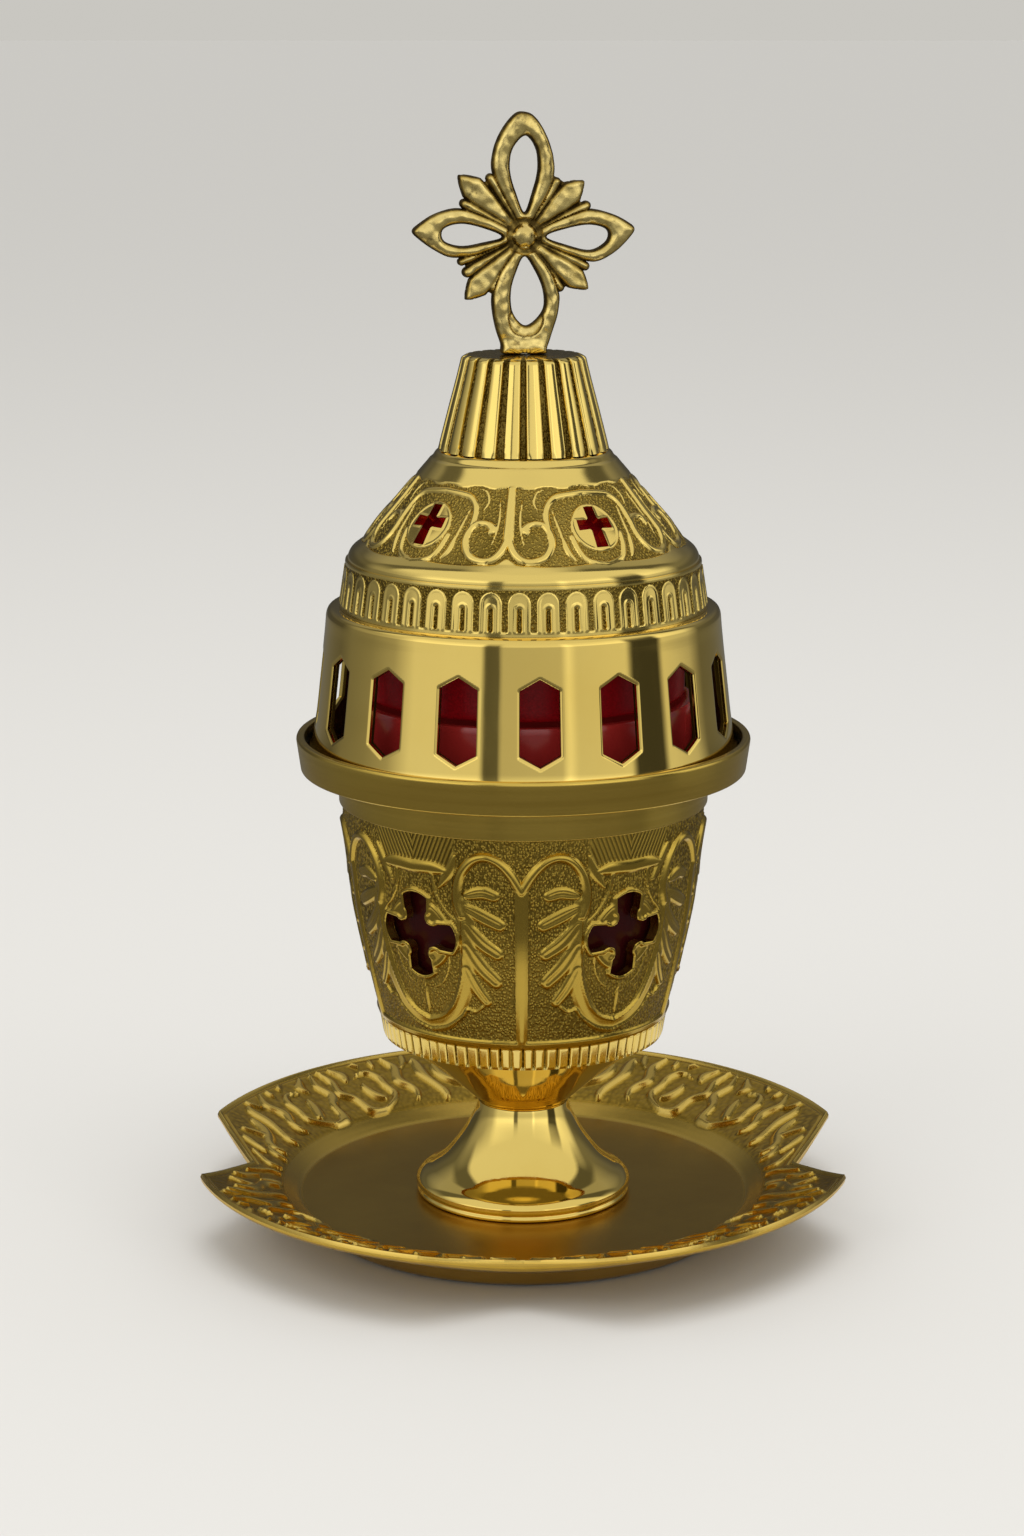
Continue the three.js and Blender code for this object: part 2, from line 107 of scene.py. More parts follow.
def line_distance(x, y, points):
    """Distance to a polyline, and the share of its length at the nearest point."""
    p = np.asarray(points, float)
    lengths = np.hypot(*np.diff(p, axis=0).T)
    starts = np.concatenate([[0], np.cumsum(lengths)])
    nearest = np.full(x.shape, np.inf)
    share = np.zeros(x.shape)
    for i, length in enumerate(lengths):
        if length < 1e-9:
            continue
        ux, uy = (p[i + 1] - p[i]) / length
        along = np.clip((x - p[i, 0]) * ux + (y - p[i, 1]) * uy, 0, length)
        away = np.hypot(x - p[i, 0] - along * ux, y - p[i, 1] - along * uy)
        closer = away < nearest
        nearest = np.where(closer, away, nearest)
        share = np.where(closer, (starts[i] + along) / starts[-1], share)
    return nearest, share


def outline_distance(x, y, points):
    """Signed distance to a closed outline, negative inside."""
    p = np.asarray(points, float)
    ring = np.vstack([p, p[:1]])
    away, _ = line_distance(x, y, ring)
    inside = np.zeros(x.shape, bool)
    for (ax, ay), (bx, by) in zip(ring[:-1], ring[1:]):
        if ay == by:
            continue
        crosses = (ay > y) != (by > y)
        inside ^= crosses & (x < (bx - ax) * (y - ay) / (by - ay) + ax)
    return np.where(inside, -away, away)


def smooth_step(value, start, end):
    """0 below start, 1 above end, and an S-curve between them."""
    t = np.clip((value - start) / (end - start), 0, 1)
    return t * t * (3 - 2 * t)


def ridge(x, y, points, half_width, height, ends=(1, 1), power=2, hollow=0.0):
    """A raised band along a curve. ends scales its width at each end, and hollow sinks its middle."""
    away, share = line_distance(x, y, spline(points))
    belly = np.sin(np.pi * np.clip(share, 0, 1)) ** 0.7
    start, end = ends
    taper = np.where(share < 0.5, start + (1 - start) * belly, end + (1 - end) * belly)
    q = away / (half_width * np.maximum(taper, 0.05))
    crown = 1 - np.clip(q, 0, 1) ** power
    if hollow:
        crown = crown * (1 - hollow * np.exp(-((q / 0.45) ** 2)))
    return height * crown


def pebbles(turn, row, columns):
    """Rounded grains, one in each cell: turn is the share of a full turn, row is counted in cells."""
    rows = int(row.max()) + 4
    place = rng.random((columns, rows, 2)) * 0.8 + 0.1
    size = rng.random((columns, rows)) * 0.5 + 0.5
    i = np.floor(turn * columns).astype(int)
    j = np.floor(row).astype(int)
    height = np.zeros(turn.shape)
    for di in (-1, 0, 1):
        for dj in (-1, 0, 1):
            ci = (i + di) % columns
            cj = np.clip(j + dj + 1, 0, rows - 1)
            dx = turn * columns - (i + di + place[ci, cj, 0])
            dy = row - (j + dj + place[ci, cj, 1])
            grain = 1 - np.clip((dx * dx + dy * dy) / 0.42, 0, 1)
            height = np.maximum(height, grain * size[ci, cj])
    return height


# ---- meshes ---------------------------------------------------------------------------------------


LAYERS = ("relief", "hatch", "phase")  # what a point's tint holds, for the materials to read


def make_piece(name, solid, body, finish, stands_for=None, sharp=60):
    """A smooth-shaded mesh object that rides on a body.

    solid holds vertices in millimetres and index arrays of faces, and may go on with the points' tint and
    rims. finish is a material and its slot. Edges over sharp degrees stay sharp.
    """
    vertices, faces, tint, rim = (*solid, None, None)[:4]
    material, slot = finish
    mesh = bpy.data.meshes.new(name)
    sizes = np.concatenate([np.full(len(f), f.shape[1]) for f in faces if len(f)])
    corners = np.concatenate([f.ravel() for f in faces if len(f)])
    mesh.vertices.add(len(vertices))
    mesh.vertices.foreach_set("co", (vertices * MM).astype(np.float32).ravel())
    mesh.loops.add(len(corners))
    mesh.loops.foreach_set("vertex_index", corners.astype(np.int32))
    mesh.polygons.add(len(sizes))
    starts = np.concatenate([[0], np.cumsum(sizes)[:-1]])
    mesh.polygons.foreach_set("loop_start", starts.astype(np.int32))
    mesh.polygons.foreach_set("loop_total", sizes.astype(np.int32))
    mesh.update(calc_edges=True)
    mesh.validate()
    mesh.polygons.foreach_set("use_smooth", np.ones(len(mesh.polygons), bool))
    mesh.set_sharp_from_angle(angle=math.radians(sharp))
    if rim is not None:
        crease_rims(mesh, rim)
    if tint is not None:
        for layer_name, values in zip(LAYERS, tint.T):
            layer = mesh.attributes.new(layer_name, "FLOAT", "POINT")
            layer.data.foreach_set("value", values.astype(np.float32))
    mesh.materials.append(material)
    piece = bpy.data.objects.new(name, mesh)
    bpy.context.scene.collection.objects.link(piece)
    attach(piece, body)
    if stands_for:
        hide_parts(stands_for)


def crease_rims(mesh, rim):
    """Marks the edges that run along a rim as sharp. rim numbers the vertices of each rim, 0 for none."""
    ends = np.zeros(len(mesh.edges) * 2, np.int32)
    mesh.edges.foreach_get("vertices", ends)
    first, second = rim[ends[0::2]], rim[ends[1::2]]
    sharp = np.zeros(len(mesh.edges), bool)
    mesh.edges.foreach_get("use_edge_sharp", sharp)
    mesh.edges.foreach_set("use_edge_sharp", sharp | ((first == second) & (first > 0)))


def edge_keys(faces, count):
    """Directed edges of the faces as from * count + to."""
    keys = []
    for f in faces:
        for i in range(f.shape[1]):
            keys.append(f[:, i].astype(np.int64) * count + f[:, (i + 1) % f.shape[1]])
    return np.concatenate(keys)


def thinned(keep, stride):
    """For each grid point, the point of a coarser grid that stands for it where no opening is near."""
    columns, rows = keep.shape
    across, along = stride
    near = keep <= 0
    for step in range(1, 2 * across + 1):
        near = near | np.roll(keep <= 0, step, 0) | np.roll(keep <= 0, -step, 0)
    wide = near.copy()
    for step in range(1, 2 * along + 1):
        wide[:, step:] |= near[:, :-step]
        wide[:, :-step] |= near[:, step:]
    i, j = np.indices(keep.shape)
    coarse_i = np.round(i / across).astype(int) * across % columns
    coarse_j = np.minimum(np.round(j / along).astype(int) * along, rows - 1)
    free = ~wide & ~wide[coarse_i, coarse_j]
    return np.where(free, coarse_i * rows + coarse_j, i * rows + j)


def without_repeats(faces):
    """Faces with repeated corners turned into triangles, or left out where nothing is left of them."""
    quads, triangles = [], []
    for f in faces:
        same = f == np.roll(f, -1, axis=1)
        repeats = same.sum(1)
        if f.shape[1] == 3:
            triangles.append(f[repeats == 0])
            continue
        crossed = (f[:, 0] == f[:, 2]) | (f[:, 1] == f[:, 3])
        quads.append(f[(repeats == 0) & ~crossed])
        for k in range(4):
            chosen = (repeats == 1) & same[:, k]
            triangles.append(np.delete(f[chosen], k, axis=1))
    triangles = np.concatenate(triangles)
    split = np.stack([triangles[:, i] == triangles[:, (i + 1) % 3] for i in range(3)], 1).any(1)
    return [np.concatenate(quads), triangles[~split]]


def cut_faces(sign, index, wrap):
    """A grid's faces on the material's side: whole quads, and triangles along the cuts' outlines."""
    columns, rows = index.shape
    i = np.arange(columns if wrap else columns - 1)
    j = np.arange(rows - 1)
    a = index[i][:, j].ravel()
    b = index[(i + 1) % columns][:, j].ravel()
    c = index[(i + 1) % columns][:, j + 1].ravel()
    d = index[i][:, j + 1].ravel()
    quads = np.stack([a, b, c, d], 1)
    signs = sign[quads]
    whole = (signs >= 0).all(1) & ((signs > 0).sum(1) >= 2)
    part = ~whole & (signs > 0).any(1)
    cut, cut_signs = quads[part], signs[part]
    along_ac = (cut_signs[:, 0] == 0) & (cut_signs[:, 2] == 0)
    first = np.where(along_ac[:, None], cut[:, [0, 1, 2]], cut[:, [0, 1, 3]])
    second = np.where(along_ac[:, None], cut[:, [0, 2, 3]], cut[:, [1, 2, 3]])
    triangles = np.concatenate([first, second])
    kept = (sign[triangles] >= 0).all(1) & (sign[triangles] > 0).any(1)
    return quads[whole], triangles[kept]


def shell(outer, inner, keep=None, wrap=True, tint=None, stride=None, pole=False, inner_relief=0.5):
    """Closes an outer and an inner grid of points into one solid: points, faces, tint and rims.

    keep is positive on material, zero on a cut's outline and negative in an opening. wrap joins the last
    column to the first. stride thins the inner grid, and pole draws each first row together in one point.
    """
    if keep is None:
        keep = np.ones(outer.shape[:2])
    count = keep.size
    index = np.arange(count).reshape(keep.shape)
    quads, triangles = cut_faces(np.sign(keep).ravel(), index, wrap)
    forward = edge_keys([quads, triangles], count)
    backward = (forward % count) * count + forward // count
    open_edges = forward[~np.isin(forward, backward)]
    start, end = open_edges // count, open_edges % count
    if pole:
        ring = index[:, 0]
        sides = ~(np.isin(start, ring) & np.isin(end, ring))
        start, end = start[sides], end[sides]
    walls = np.stack([end, start, start + count, end + count], 1)
    faces = [quads, triangles, quads[:, ::-1] + count, triangles[:, ::-1] + count, walls]

    outer_map = np.arange(count)
    inner_map = thinned(keep, stride).ravel() if stride else outer_map.copy()
    if pole:
        outer_map[index[:, 0]] = index[0, 0]
        inner_map[np.isin(inner_map, index[:, 0])] = index[0, 0]
    merge = np.concatenate([outer_map, inner_map + count])
    faces = without_repeats([merge[f] for f in faces])

    points = np.concatenate([outer.reshape(-1, 3), inner.reshape(-1, 3)])
    used = np.zeros(len(points), bool)
    for f in faces:
        used[f.ravel()] = True
    renumber = np.cumsum(used) - 1
    if tint is not None:
        outside = tint.reshape(count, -1)
        inside = np.zeros(outside.shape)
        inside[:, 0] = inner_relief
        tint = np.concatenate([outside, inside])[used]
    rim = np.zeros(2 * count, np.int32)
    rim[start], rim[end] = 1, 1
    rim[merge[start + count]], rim[merge[end + count]] = 2, 2
    return points[used], [renumber[f] for f in faces], tint, rim[used]


class TurnedRelief:
    """A grid over a surface of revolution whose pattern repeats in mirrored half panels.

    across is the angle from a panel's middle line in degrees, up the place along the outline. Both are
    moved a little at an opening's edge, so that the grid follows it exactly.
    """

    def __init__(self, panels, half_columns, up, reference_radius, first_angle):
        self.panels = panels
        self.first_angle = first_angle
        self.half_angle = 180 / panels
        self.scale = math.radians(1) * reference_radius
        across = np.linspace(0, self.half_angle, half_columns + 1) * self.scale
        self.x, self.y = np.meshgrid(across, up, indexing="ij")
        self.keep = np.ones(self.x.shape)

    def fit(self, opening):
        """Moves grid points that lie near the opening's outline onto it."""
        step_x = self.x[1, 0] - self.x[0, 0]
        step_y = np.abs(np.gradient(self.y[0]))[None, :]
        reach = 0.52 * np.maximum(step_x, step_y) * np.ones(self.x.shape)
        last_x = self.x[-1, 0]
        away = opening(self.x, self.y)
        near = np.abs(away) < reach
        tiny = 0.01
        for _ in range(3):
            here = opening(self.x, self.y)
            slope_x = (opening(self.x + tiny, self.y) - opening(self.x - tiny, self.y)) / (2 * tiny)
            slope_y = (opening(self.x, self.y + tiny) - opening(self.x, self.y - tiny)) / (2 * tiny)
            slope_x[0], slope_x[-1] = 0, 0
            size = np.maximum(slope_x**2 + slope_y**2, 0.25)
            self.x = np.where(near, self.x - here * slope_x / size, self.x)
            self.y = np.where(near, self.y - here * slope_y / size, self.y)
        self.x = np.clip(self.x, 0, last_x)
        self.keep = np.where(near, 0.0, np.sign(away))

    def around(self, values):
        """Repeats a half panel's values all round."""
        there_and_back = np.concatenate([values, values[-2:0:-1]])
        return np.tile(there_and_back, (self.panels,) + (1,) * (values.ndim - 1))

    def angles(self):
        """Each point's angle in degrees, all round, counted from the front towards +X."""
        degrees = self.x / self.scale
        mirrored = 2 * self.half_angle - degrees[-2:0:-1]
        panel = np.concatenate([degrees, mirrored])
        turns = [panel + 2 * self.half_angle * i for i in range(self.panels)]
        return np.concatenate(turns) + self.first_angle


def placed(angle, radius, z):
    """Points at this angle in degrees (0 faces the front), radius and height."""
    a, radius, z = np.broadcast_arrays(np.radians(angle), radius, z)
    return np.stack([radius * np.sin(a), -radius * np.cos(a), z], -1)


def graded(stops, steps):
    """Places from the first stop to the last, with this many even steps from each stop to the next."""
    parts = [np.linspace(a, b, n, endpoint=False) for a, b, n in zip(stops, stops[1:], steps)]
    return np.concatenate([*parts, stops[-1:]])


class Outline:
    """A turned outline through (radius, height) points, read by the length along it."""

    def __init__(self, points):
        self.curve = np.array(points, float)
        self.key = np.concatenate([[0], np.cumsum(np.hypot(*np.diff(self.curve, axis=0).T))])
        tangent = np.gradient(self.curve, self.key, axis=0)
        tangent /= np.hypot(tangent[:, 0], tangent[:, 1])[:, None]
        self.out, self.rise = tangent[:, 1], -tangent[:, 0]

    def at(self, key):
        """Radius, height, and the outward and upward parts of the surface's direction."""
        return [np.interp(key, self.key, values) for values in (*self.curve.T, self.out, self.rise)]


def around_axis(columns, rows):
    """Angles all round in degrees, and places along an outline, as two grids of one shape."""
    return np.meshgrid(np.arange(columns) * 360 / columns, rows, indexing="ij")


def filleted(corners, pieces=5):
    """A closed outline whose corners (radius, height, fillet) are rounded."""
    longest = 0.45  # the most of a side that a fillet may take
    out = []
    for i, (x, y, fillet) in enumerate(corners):
        here = np.array([x, y], float)
        to_before = np.array(corners[i - 1][:2], float) - here
        to_after = np.array(corners[(i + 1) % len(corners)][:2], float) - here
        before, after = np.linalg.norm(to_before), np.linalg.norm(to_after)
        reach = min(fillet, longest * before, longest * after)
        start = here + to_before / before * reach
        end = here + to_after / after * reach
        for t in np.linspace(0, 1, pieces):
            out.append((1 - t) ** 2 * start + 2 * t * (1 - t) * here + t * t * end)
    return np.array(out)


def turned(name, outline, base, body, finish, stands_for, segments, sharp):
    """A closed outline of (radius, height above base) turned about the axis, which it may touch."""
    p = np.asarray(outline, float) + [0, base]
    on_axis = p[:, 0] < 1e-6
    angle = np.arange(segments) * 360 / segments
    points, ring_of = [], []
    count = 0
    for (r, z), pole in zip(p, on_axis):
        ring = np.array([[0, 0, z]]) if pole else placed(angle, r, z)
        points.append(ring)
        ring_of.append(np.full(segments, count) if pole else np.arange(segments) + count)
        count += len(ring)
    quads, triangles = [], []
    for i, low in enumerate(ring_of):
        j = (i + 1) % len(p)
        high = ring_of[j]
        low_next, high_next = np.roll(low, -1), np.roll(high, -1)
        if on_axis[i] and on_axis[j]:
            continue
        if on_axis[i]:
            triangles.append(np.stack([low, high_next, high], 1))
        elif on_axis[j]:
            triangles.append(np.stack([low, low_next, high], 1))
        else:
            quads.append(np.stack([low, low_next, high_next, high], 1))
    faces = [np.concatenate(f) for f in (quads, triangles) if f]
    make_piece(name, (np.concatenate(points), faces), body, finish, stands_for, sharp)


# ---- materials ------------------------------------------------------------------------------------


class Nodes:
    """A node tree that is built up by short calls."""

    def __init__(self, tree):
        self.nodes = tree.nodes
        self.links = tree.links
        self.nodes.clear()

    def feed(self, socket, value):
        if isinstance(value, bpy.types.NodeSocket):
            self.links.new(value, socket)
        else:
            socket.default_value = value

    def add(self, kind, settings=None, **inputs):
        node = self.nodes.new("ShaderNode" + kind)
        for key, value in (settings or {}).items():
            setattr(node, key, value)
        for key, value in inputs.items():
            self.feed(node.inputs[key.replace("_", " ")], value)
        return node

    def place(self):
        return self.add("TexCoord").outputs["Object"]

    def noise(self, scale, detail=3.0, roughness=0.55, stretch=None, where=None):
        vector = where or self.place()
        if stretch:
            vector = self.add("Mapping", Vector=vector, Scale=stretch).outputs["Vector"]
        node = self.add("TexNoise", Vector=vector, Scale=scale, Detail=detail, Roughness=roughness)
        return node.outputs["Fac"]

    def math(self, operation, first, second=0.0):
        node = self.nodes.new("ShaderNodeMath")
        node.operation = operation
        for socket, value in zip(node.inputs, (first, second)):
            self.feed(socket, value)
        return node.outputs[0]

    def between(self, value, low, high, to_low=0.0, to_high=1.0):
        names = {"Value": value, "From_Min": low, "From_Max": high, "To_Min": to_low, "To_Max": to_high}
        return self.add("MapRange", **names).outputs["Result"]

    def mix(self, factor, first, second):
        node = self.add("Mix", {"data_type": "RGBA"})
        for socket, value in ((0, factor), (6, first), (7, second)):
            self.feed(node.inputs[socket], value)
        return node.outputs[2]

    def radius(self):
        """Distance from the lamp's axis, and the node with the separate coordinates."""
        split = self.add("SeparateXYZ", Vector=self.place())
        squares = [self.math("MULTIPLY", split.outputs[axis], split.outputs[axis]) for axis in "XY"]
        return self.math("SQRT", self.math("ADD", *squares)), split

    def rings(self, pitch, detail=2.0):
        """Fine grooves round the lamp's axis, as a lathe tool or a polishing wheel leaves them."""
        radius, split = self.radius()
        turn = self.math("MULTIPLY", self.math("ARCTAN2", split.outputs["Y"], split.outputs["X"]), 0.0006)
        vector = self.add("CombineXYZ", X=radius, Y=split.outputs["Z"], Z=turn).outputs["Vector"]
        return self.noise(1 / (pitch * MM), detail, 0.6, where=vector)

    def bump(self, height, depth, strength=1.0, normal=None):
        inputs = {"Height": height, "Strength": strength, "Distance": depth * MM}
        if normal:
            inputs["Normal"] = normal
        return self.add("Bump", **inputs).outputs["Normal"]

    def attribute(self, name):
        return self.add("Attribute", {"attribute_name": name}).outputs["Fac"]


class Shader(Nodes):
    """One material's node tree, ending in a Principled BSDF."""

    def __init__(self, name):
        self.material = bpy.data.materials.new(name)
        self.material.use_nodes = True
        super().__init__(self.material.node_tree)

    def done(self, tone, roughness, **inputs):
        surface = self.add("BsdfPrincipled", Base_Color=tone, Roughness=roughness, **inputs)
        self.add("OutputMaterial", Surface=surface.outputs["BSDF"])
        return self.material

    def metal(self, tone, roughness, normal):
        return self.done(tone, roughness, Metallic=1.0, Normal=normal)


def colour(red, green, blue):
    return (red, green, blue, 1.0)


PALE_GOLD = colour(0.93, 0.70, 0.20)
DEEP_GOLD = colour(0.80, 0.54, 0.10)
SOFT_GOLD = colour(0.56, 0.385, 0.065)
# Dark brown: patina in slots, grooves and stipple, and painted shade in creases and on the gallery's inner
# side.
PATINA_AND_SHADE = colour(0.075, 0.045, 0.006)


def polished_brass(name="polished_brass", inside=None):
    """Hand-polished brass: nearly a mirror, with faint wheel marks, waves and fine rubbing, and an inside
    colour of painted shade if one is given.
    """
    s = Shader(name)
    cloud = s.between(s.noise(28, 4), 0.35, 0.7)
    rub = s.between(s.noise(700, 3, stretch=(1, 1, 0.12)), 0.45, 0.75)
    tone = s.mix(s.math("MULTIPLY", cloud, 0.4), PALE_GOLD, DEEP_GOLD)
    matte = s.between(rub, 0, 1, 0.04, 0.10)
    # Painted shade: where relief falls below 0.45, on the inner side, the tone turns to the inside colour and
    # the surface is made matt.
    if inside:
        outside = s.between(s.attribute("relief"), 0.45, 0.6)
        tone = s.mix(outside, inside, tone)
        matte = s.math("ADD", matte, s.between(outside, 0, 1, 0.5, 0.0))
    wave = s.bump(s.noise(55, 1.0), 0.16, 0.35)
    marks = s.bump(s.rings(0.35), 0.004, 0.5, wave)
    return s.metal(tone, matte, marks)


def cast_brass(name, raised=SOFT_GOLD, ground=SOFT_GOLD, sheen=0.2, rough=0.4, cell=0.46):
    """Chased casting with a stippled ground. cell is the size of the stipple in millimetres.

    relief is below 0 in dark slots, 0 on the ground, about 0.8 on smooth raised shapes and 1 on polished
    bands. hatch marks where chisel lines, counted by phase, take the stipple's place.
    """
    s = Shader(name)
    relief = s.attribute("relief")
    worn = s.math("ADD", relief, s.between(s.noise(420, 3), 0.3, 0.7, -0.1, 0.1))
    shape = s.between(worn, 0.25, 0.6)
    polish = s.between(relief, 0.9, 0.98)
    place = s.add("Mapping", Vector=s.place(), Scale=(1, 1, 0.75)).outputs["Vector"]
    cells = s.add("TexVoronoi", Vector=place, Scale=1 / (cell * MM), Randomness=0.85).outputs["Distance"]
    crumb = s.between(cells, 0.12, 0.6, 1.0, 0.0)
    wave = s.math("SINE", s.math("MULTIPLY", s.attribute("phase"), 2 * math.pi))
    line = s.between(wave, -0.7, 0.6)
    hatch = s.attribute("hatch")
    texture = s.math("ADD", s.math("MULTIPLY", line, hatch),
                     s.math("MULTIPLY", crumb, s.between(hatch, 0, 1, 1, 0)))
    height = s.math("MAXIMUM", texture, shape)
    tone = s.mix(s.between(height, 0.0, 0.75), s.mix(0.25, PATINA_AND_SHADE, ground), ground)
    tone = s.mix(shape, tone, raised)
    tone = s.mix(s.between(relief, -0.3, -0.05), PATINA_AND_SHADE, tone)
    stain = s.between(s.noise(35, 5), 0.42, 0.72, 0, 0.35)
    tone = s.mix(stain, tone, s.mix(0.5, DEEP_GOLD, raised))
    tone = s.mix(polish, tone, PALE_GOLD)
    matte = s.between(shape, 0, 1, rough, sheen)
    matte = s.math("SUBTRACT", matte, s.between(polish, 0, 1, 0.0, sheen - 0.1))
    stipple = s.bump(height, 0.2, s.between(shape, 0, 1, 1.0, 0.0))
    pits = s.bump(s.noise(2600, 2), 0.02, s.between(shape, 0, 1, 0.8, 0.1), stipple)
    dents = s.bump(s.noise(160, 2), 0.04, 0.5, pits)
    return s.metal(tone, matte, dents)


def turned_brass():
    """Lathe-turned and brushed brass, with fine circular grooves that spread the highlights, and painted
    shade in its creases.
    """
    s = Shader("turned_brass")
    lines = s.rings(0.16, 3)
    broad = s.between(s.rings(1.3, 1), 0.35, 0.7, 0.15, 0.75)
    tone = s.mix(broad, colour(0.82, 0.58, 0.12), colour(0.66, 0.45, 0.08))
    # Painted shade: an ambient occlusion test darkens the tone towards the dark colour in creases and where
    # the ring meets other parts.
    open_share = s.add("AmbientOcclusion", {"samples": 4}, Distance=2.5 * MM).outputs["AO"]
    tone = s.mix(s.between(open_share, 0.35, 0.8), PATINA_AND_SHADE, tone)
    matte = s.between(lines, 0.3, 0.7, 0.17, 0.26)
    dents = s.bump(s.noise(120, 3), 0.05, 0.4)
    grooves = s.bump(lines, 0.003, 0.8, dents)
    return s.metal(tone, matte, grooves)


def plate_brass():
    """The drip plate: aged brown-gold metal with a dull turned well, a slope painted lighter as a painted
    reflection, and lighter edges.
    """
    s = Shader("plate_brass")
    relief = s.attribute("relief")
    cloud = s.between(s.noise(40, 5, 0.65), 0.35, 0.7)
    ground = s.mix(cloud, colour(0.60, 0.39, 0.06), colour(0.48, 0.30, 0.04))
    # Low relief (the well, the groove and the gaps between grains) is darker, high relief lighter; on the
    # slope the lighter tone is a painted reflection.
    hollow = s.mix(s.between(relief, 0.0, 0.4), colour(0.30, 0.185, 0.025), ground)
    tone = s.mix(s.between(relief, 0.55, 0.95), hollow, colour(0.80, 0.565, 0.14))
    matte = s.between(relief, 0.5, 1.0, 0.29, 0.18)
    spots = s.bump(s.noise(1400, 3), 0.02, 0.5)
    lines = s.bump(s.rings(0.3, 3), 0.01, 0.5, spots)
    dents = s.bump(s.noise(110, 2), 0.12, 0.4, lines)
    return s.metal(tone, matte, dents)


def antique_brass():
    """The cast finial: brown-gold with pits, dark patina between its ribs, and crests painted lighter, partly
    as wear and partly as a painted highlight.
    """
    s = Shader("antique_brass")
    relief = s.attribute("relief")
    wear = s.between(s.noise(330, 4, 0.65), 0.3, 0.7, -0.25, 0.25)
    worn = s.math("ADD", relief, wear)
    patch = s.between(s.noise(95, 3, 0.6), 0.38, 0.62)
    body = s.mix(patch, colour(0.44, 0.295, 0.06), colour(0.68, 0.48, 0.125))
    tone = s.mix(s.between(worn, 0.05, 0.5), colour(0.10, 0.062, 0.015), body)
    # Crests and the boss turn pale gold: rubbed high points, and in part a painted highlight.
    tone = s.mix(s.between(worn, 0.62, 1.05), tone, colour(0.95, 0.74, 0.27))
    pit = s.between(s.noise(240, 5, 0.7), 0.58, 0.68)
    tone = s.mix(s.math("MULTIPLY", pit, 0.75), tone, colour(0.09, 0.055, 0.015))
    pits = s.bump(s.noise(900, 4, 0.7), 0.10, 0.5)
    dents = s.bump(s.noise(190, 2), 0.24, 0.6, pits)
    return s.metal(tone, s.between(worn, 0.1, 0.9, 0.5, 0.22), dents)


def steel():
    """Bright zinc on the hidden fastenings, with fine drawn marks."""
    s = Shader("zinc_steel")
    cloud = s.between(s.noise(260, 4), 0.35, 0.7)
    tone = s.mix(cloud, colour(0.52, 0.52, 0.50), colour(0.36, 0.36, 0.35))
    marks = s.bump(s.noise(1500, 3, stretch=(1, 1, 0.2)), 0.01, 0.5)
    return s.metal(tone, s.between(cloud, 0, 1, 0.28, 0.42), marks)


def ruby_glass(name, bright, dark, roughness, speckle, shaded_below=None, glow=0.0):
    """Deep red glass. speckle is the depth of a fine grain, clear on the liner and faint on the oil glass.

    shaded_below is the height in millimetres below which the glass is painted darker and less shiny: painted
    shade, where it sits inside the pierced cup. glow is painted light: an emission that stands for the
    daylight coming through the glass from inside.
    """
    s = Shader(name)
    grain = s.between(s.noise(2300, 2, 0.7), 0.35, 0.7)
    cloud = s.between(s.noise(90, 3), 0.3, 0.7)
    tone = s.mix(s.math("MULTIPLY", grain, speckle), bright, dark)
    tone = s.mix(s.math("MULTIPLY", cloud, 0.25), tone, dark)
    shine = 0.1
    # Painted shade: below the given height the tone turns nearly black-red and the reflection is turned down,
    # inside the pierced cup.
    if shaded_below:
        height = s.add("SeparateXYZ", Vector=s.place()).outputs["Z"]
        above = s.between(height, (shaded_below - 4) * MM, (shaded_below + 4) * MM)
        tone = s.mix(above, colour(0.030, 0.003, 0.003), tone)
        shine = s.between(above, 0, 1, 0.12, 0.7)
    ripple = s.bump(s.noise(130, 2), 0.08, 0.35)
    pits = s.bump(grain, 0.02 * speckle, 0.5, ripple)
    # The emission is painted light: the glass glows in its own tone by the given strength.
    return s.done(tone, roughness, Normal=pits, IOR=1.5, Specular_IOR_Level=shine, Transmission_Weight=0.1,
                  Emission_Color=tone, Emission_Strength=glow)


def cork_material():
    """Pressed cork: small cells with dark streaks."""
    s = Shader("cork_grain")
    cells = s.add("TexVoronoi", Vector=s.place(), Scale=900.0).outputs["Distance"]
    streak = s.between(s.noise(260, 5, 0.7), 0.4, 0.68)
    tone = s.mix(cells, colour(0.34, 0.19, 0.09), colour(0.52, 0.34, 0.18))
    tone = s.mix(streak, tone, colour(0.16, 0.08, 0.035))
    return s.done(tone, 0.88, Normal=s.bump(cells, 0.15, 0.7))


def fibre_material():
    """Dark pressed fibre board, for the gaskets."""
    s = Shader("pressed_fibre")
    strands = s.noise(1200, 4, 0.7, stretch=(1, 0.25, 1))
    tone = s.mix(s.between(strands, 0.35, 0.65), colour(0.10, 0.065, 0.04), colour(0.20, 0.14, 0.09))
    return s.done(tone, 0.9, Normal=s.bump(strands, 0.08, 0.7))


def cotton_material():
    """Undyed cotton yarn with a soft sheen."""
    s = Shader("cotton_yarn")
    strands = s.noise(1600, 4, 0.7, stretch=(1, 1, 0.3))
    tone = s.mix(s.between(strands, 0.3, 0.7), colour(0.55, 0.49, 0.36), colour(0.86, 0.82, 0.70))
    return s.done(tone, 0.95, Normal=s.bump(strands, 0.1, 0.8), Sheen_Weight=0.4)


# Each finish is a material and the name of a slot that it belongs to.
POLISHED = polished_brass(), "polished_brass"
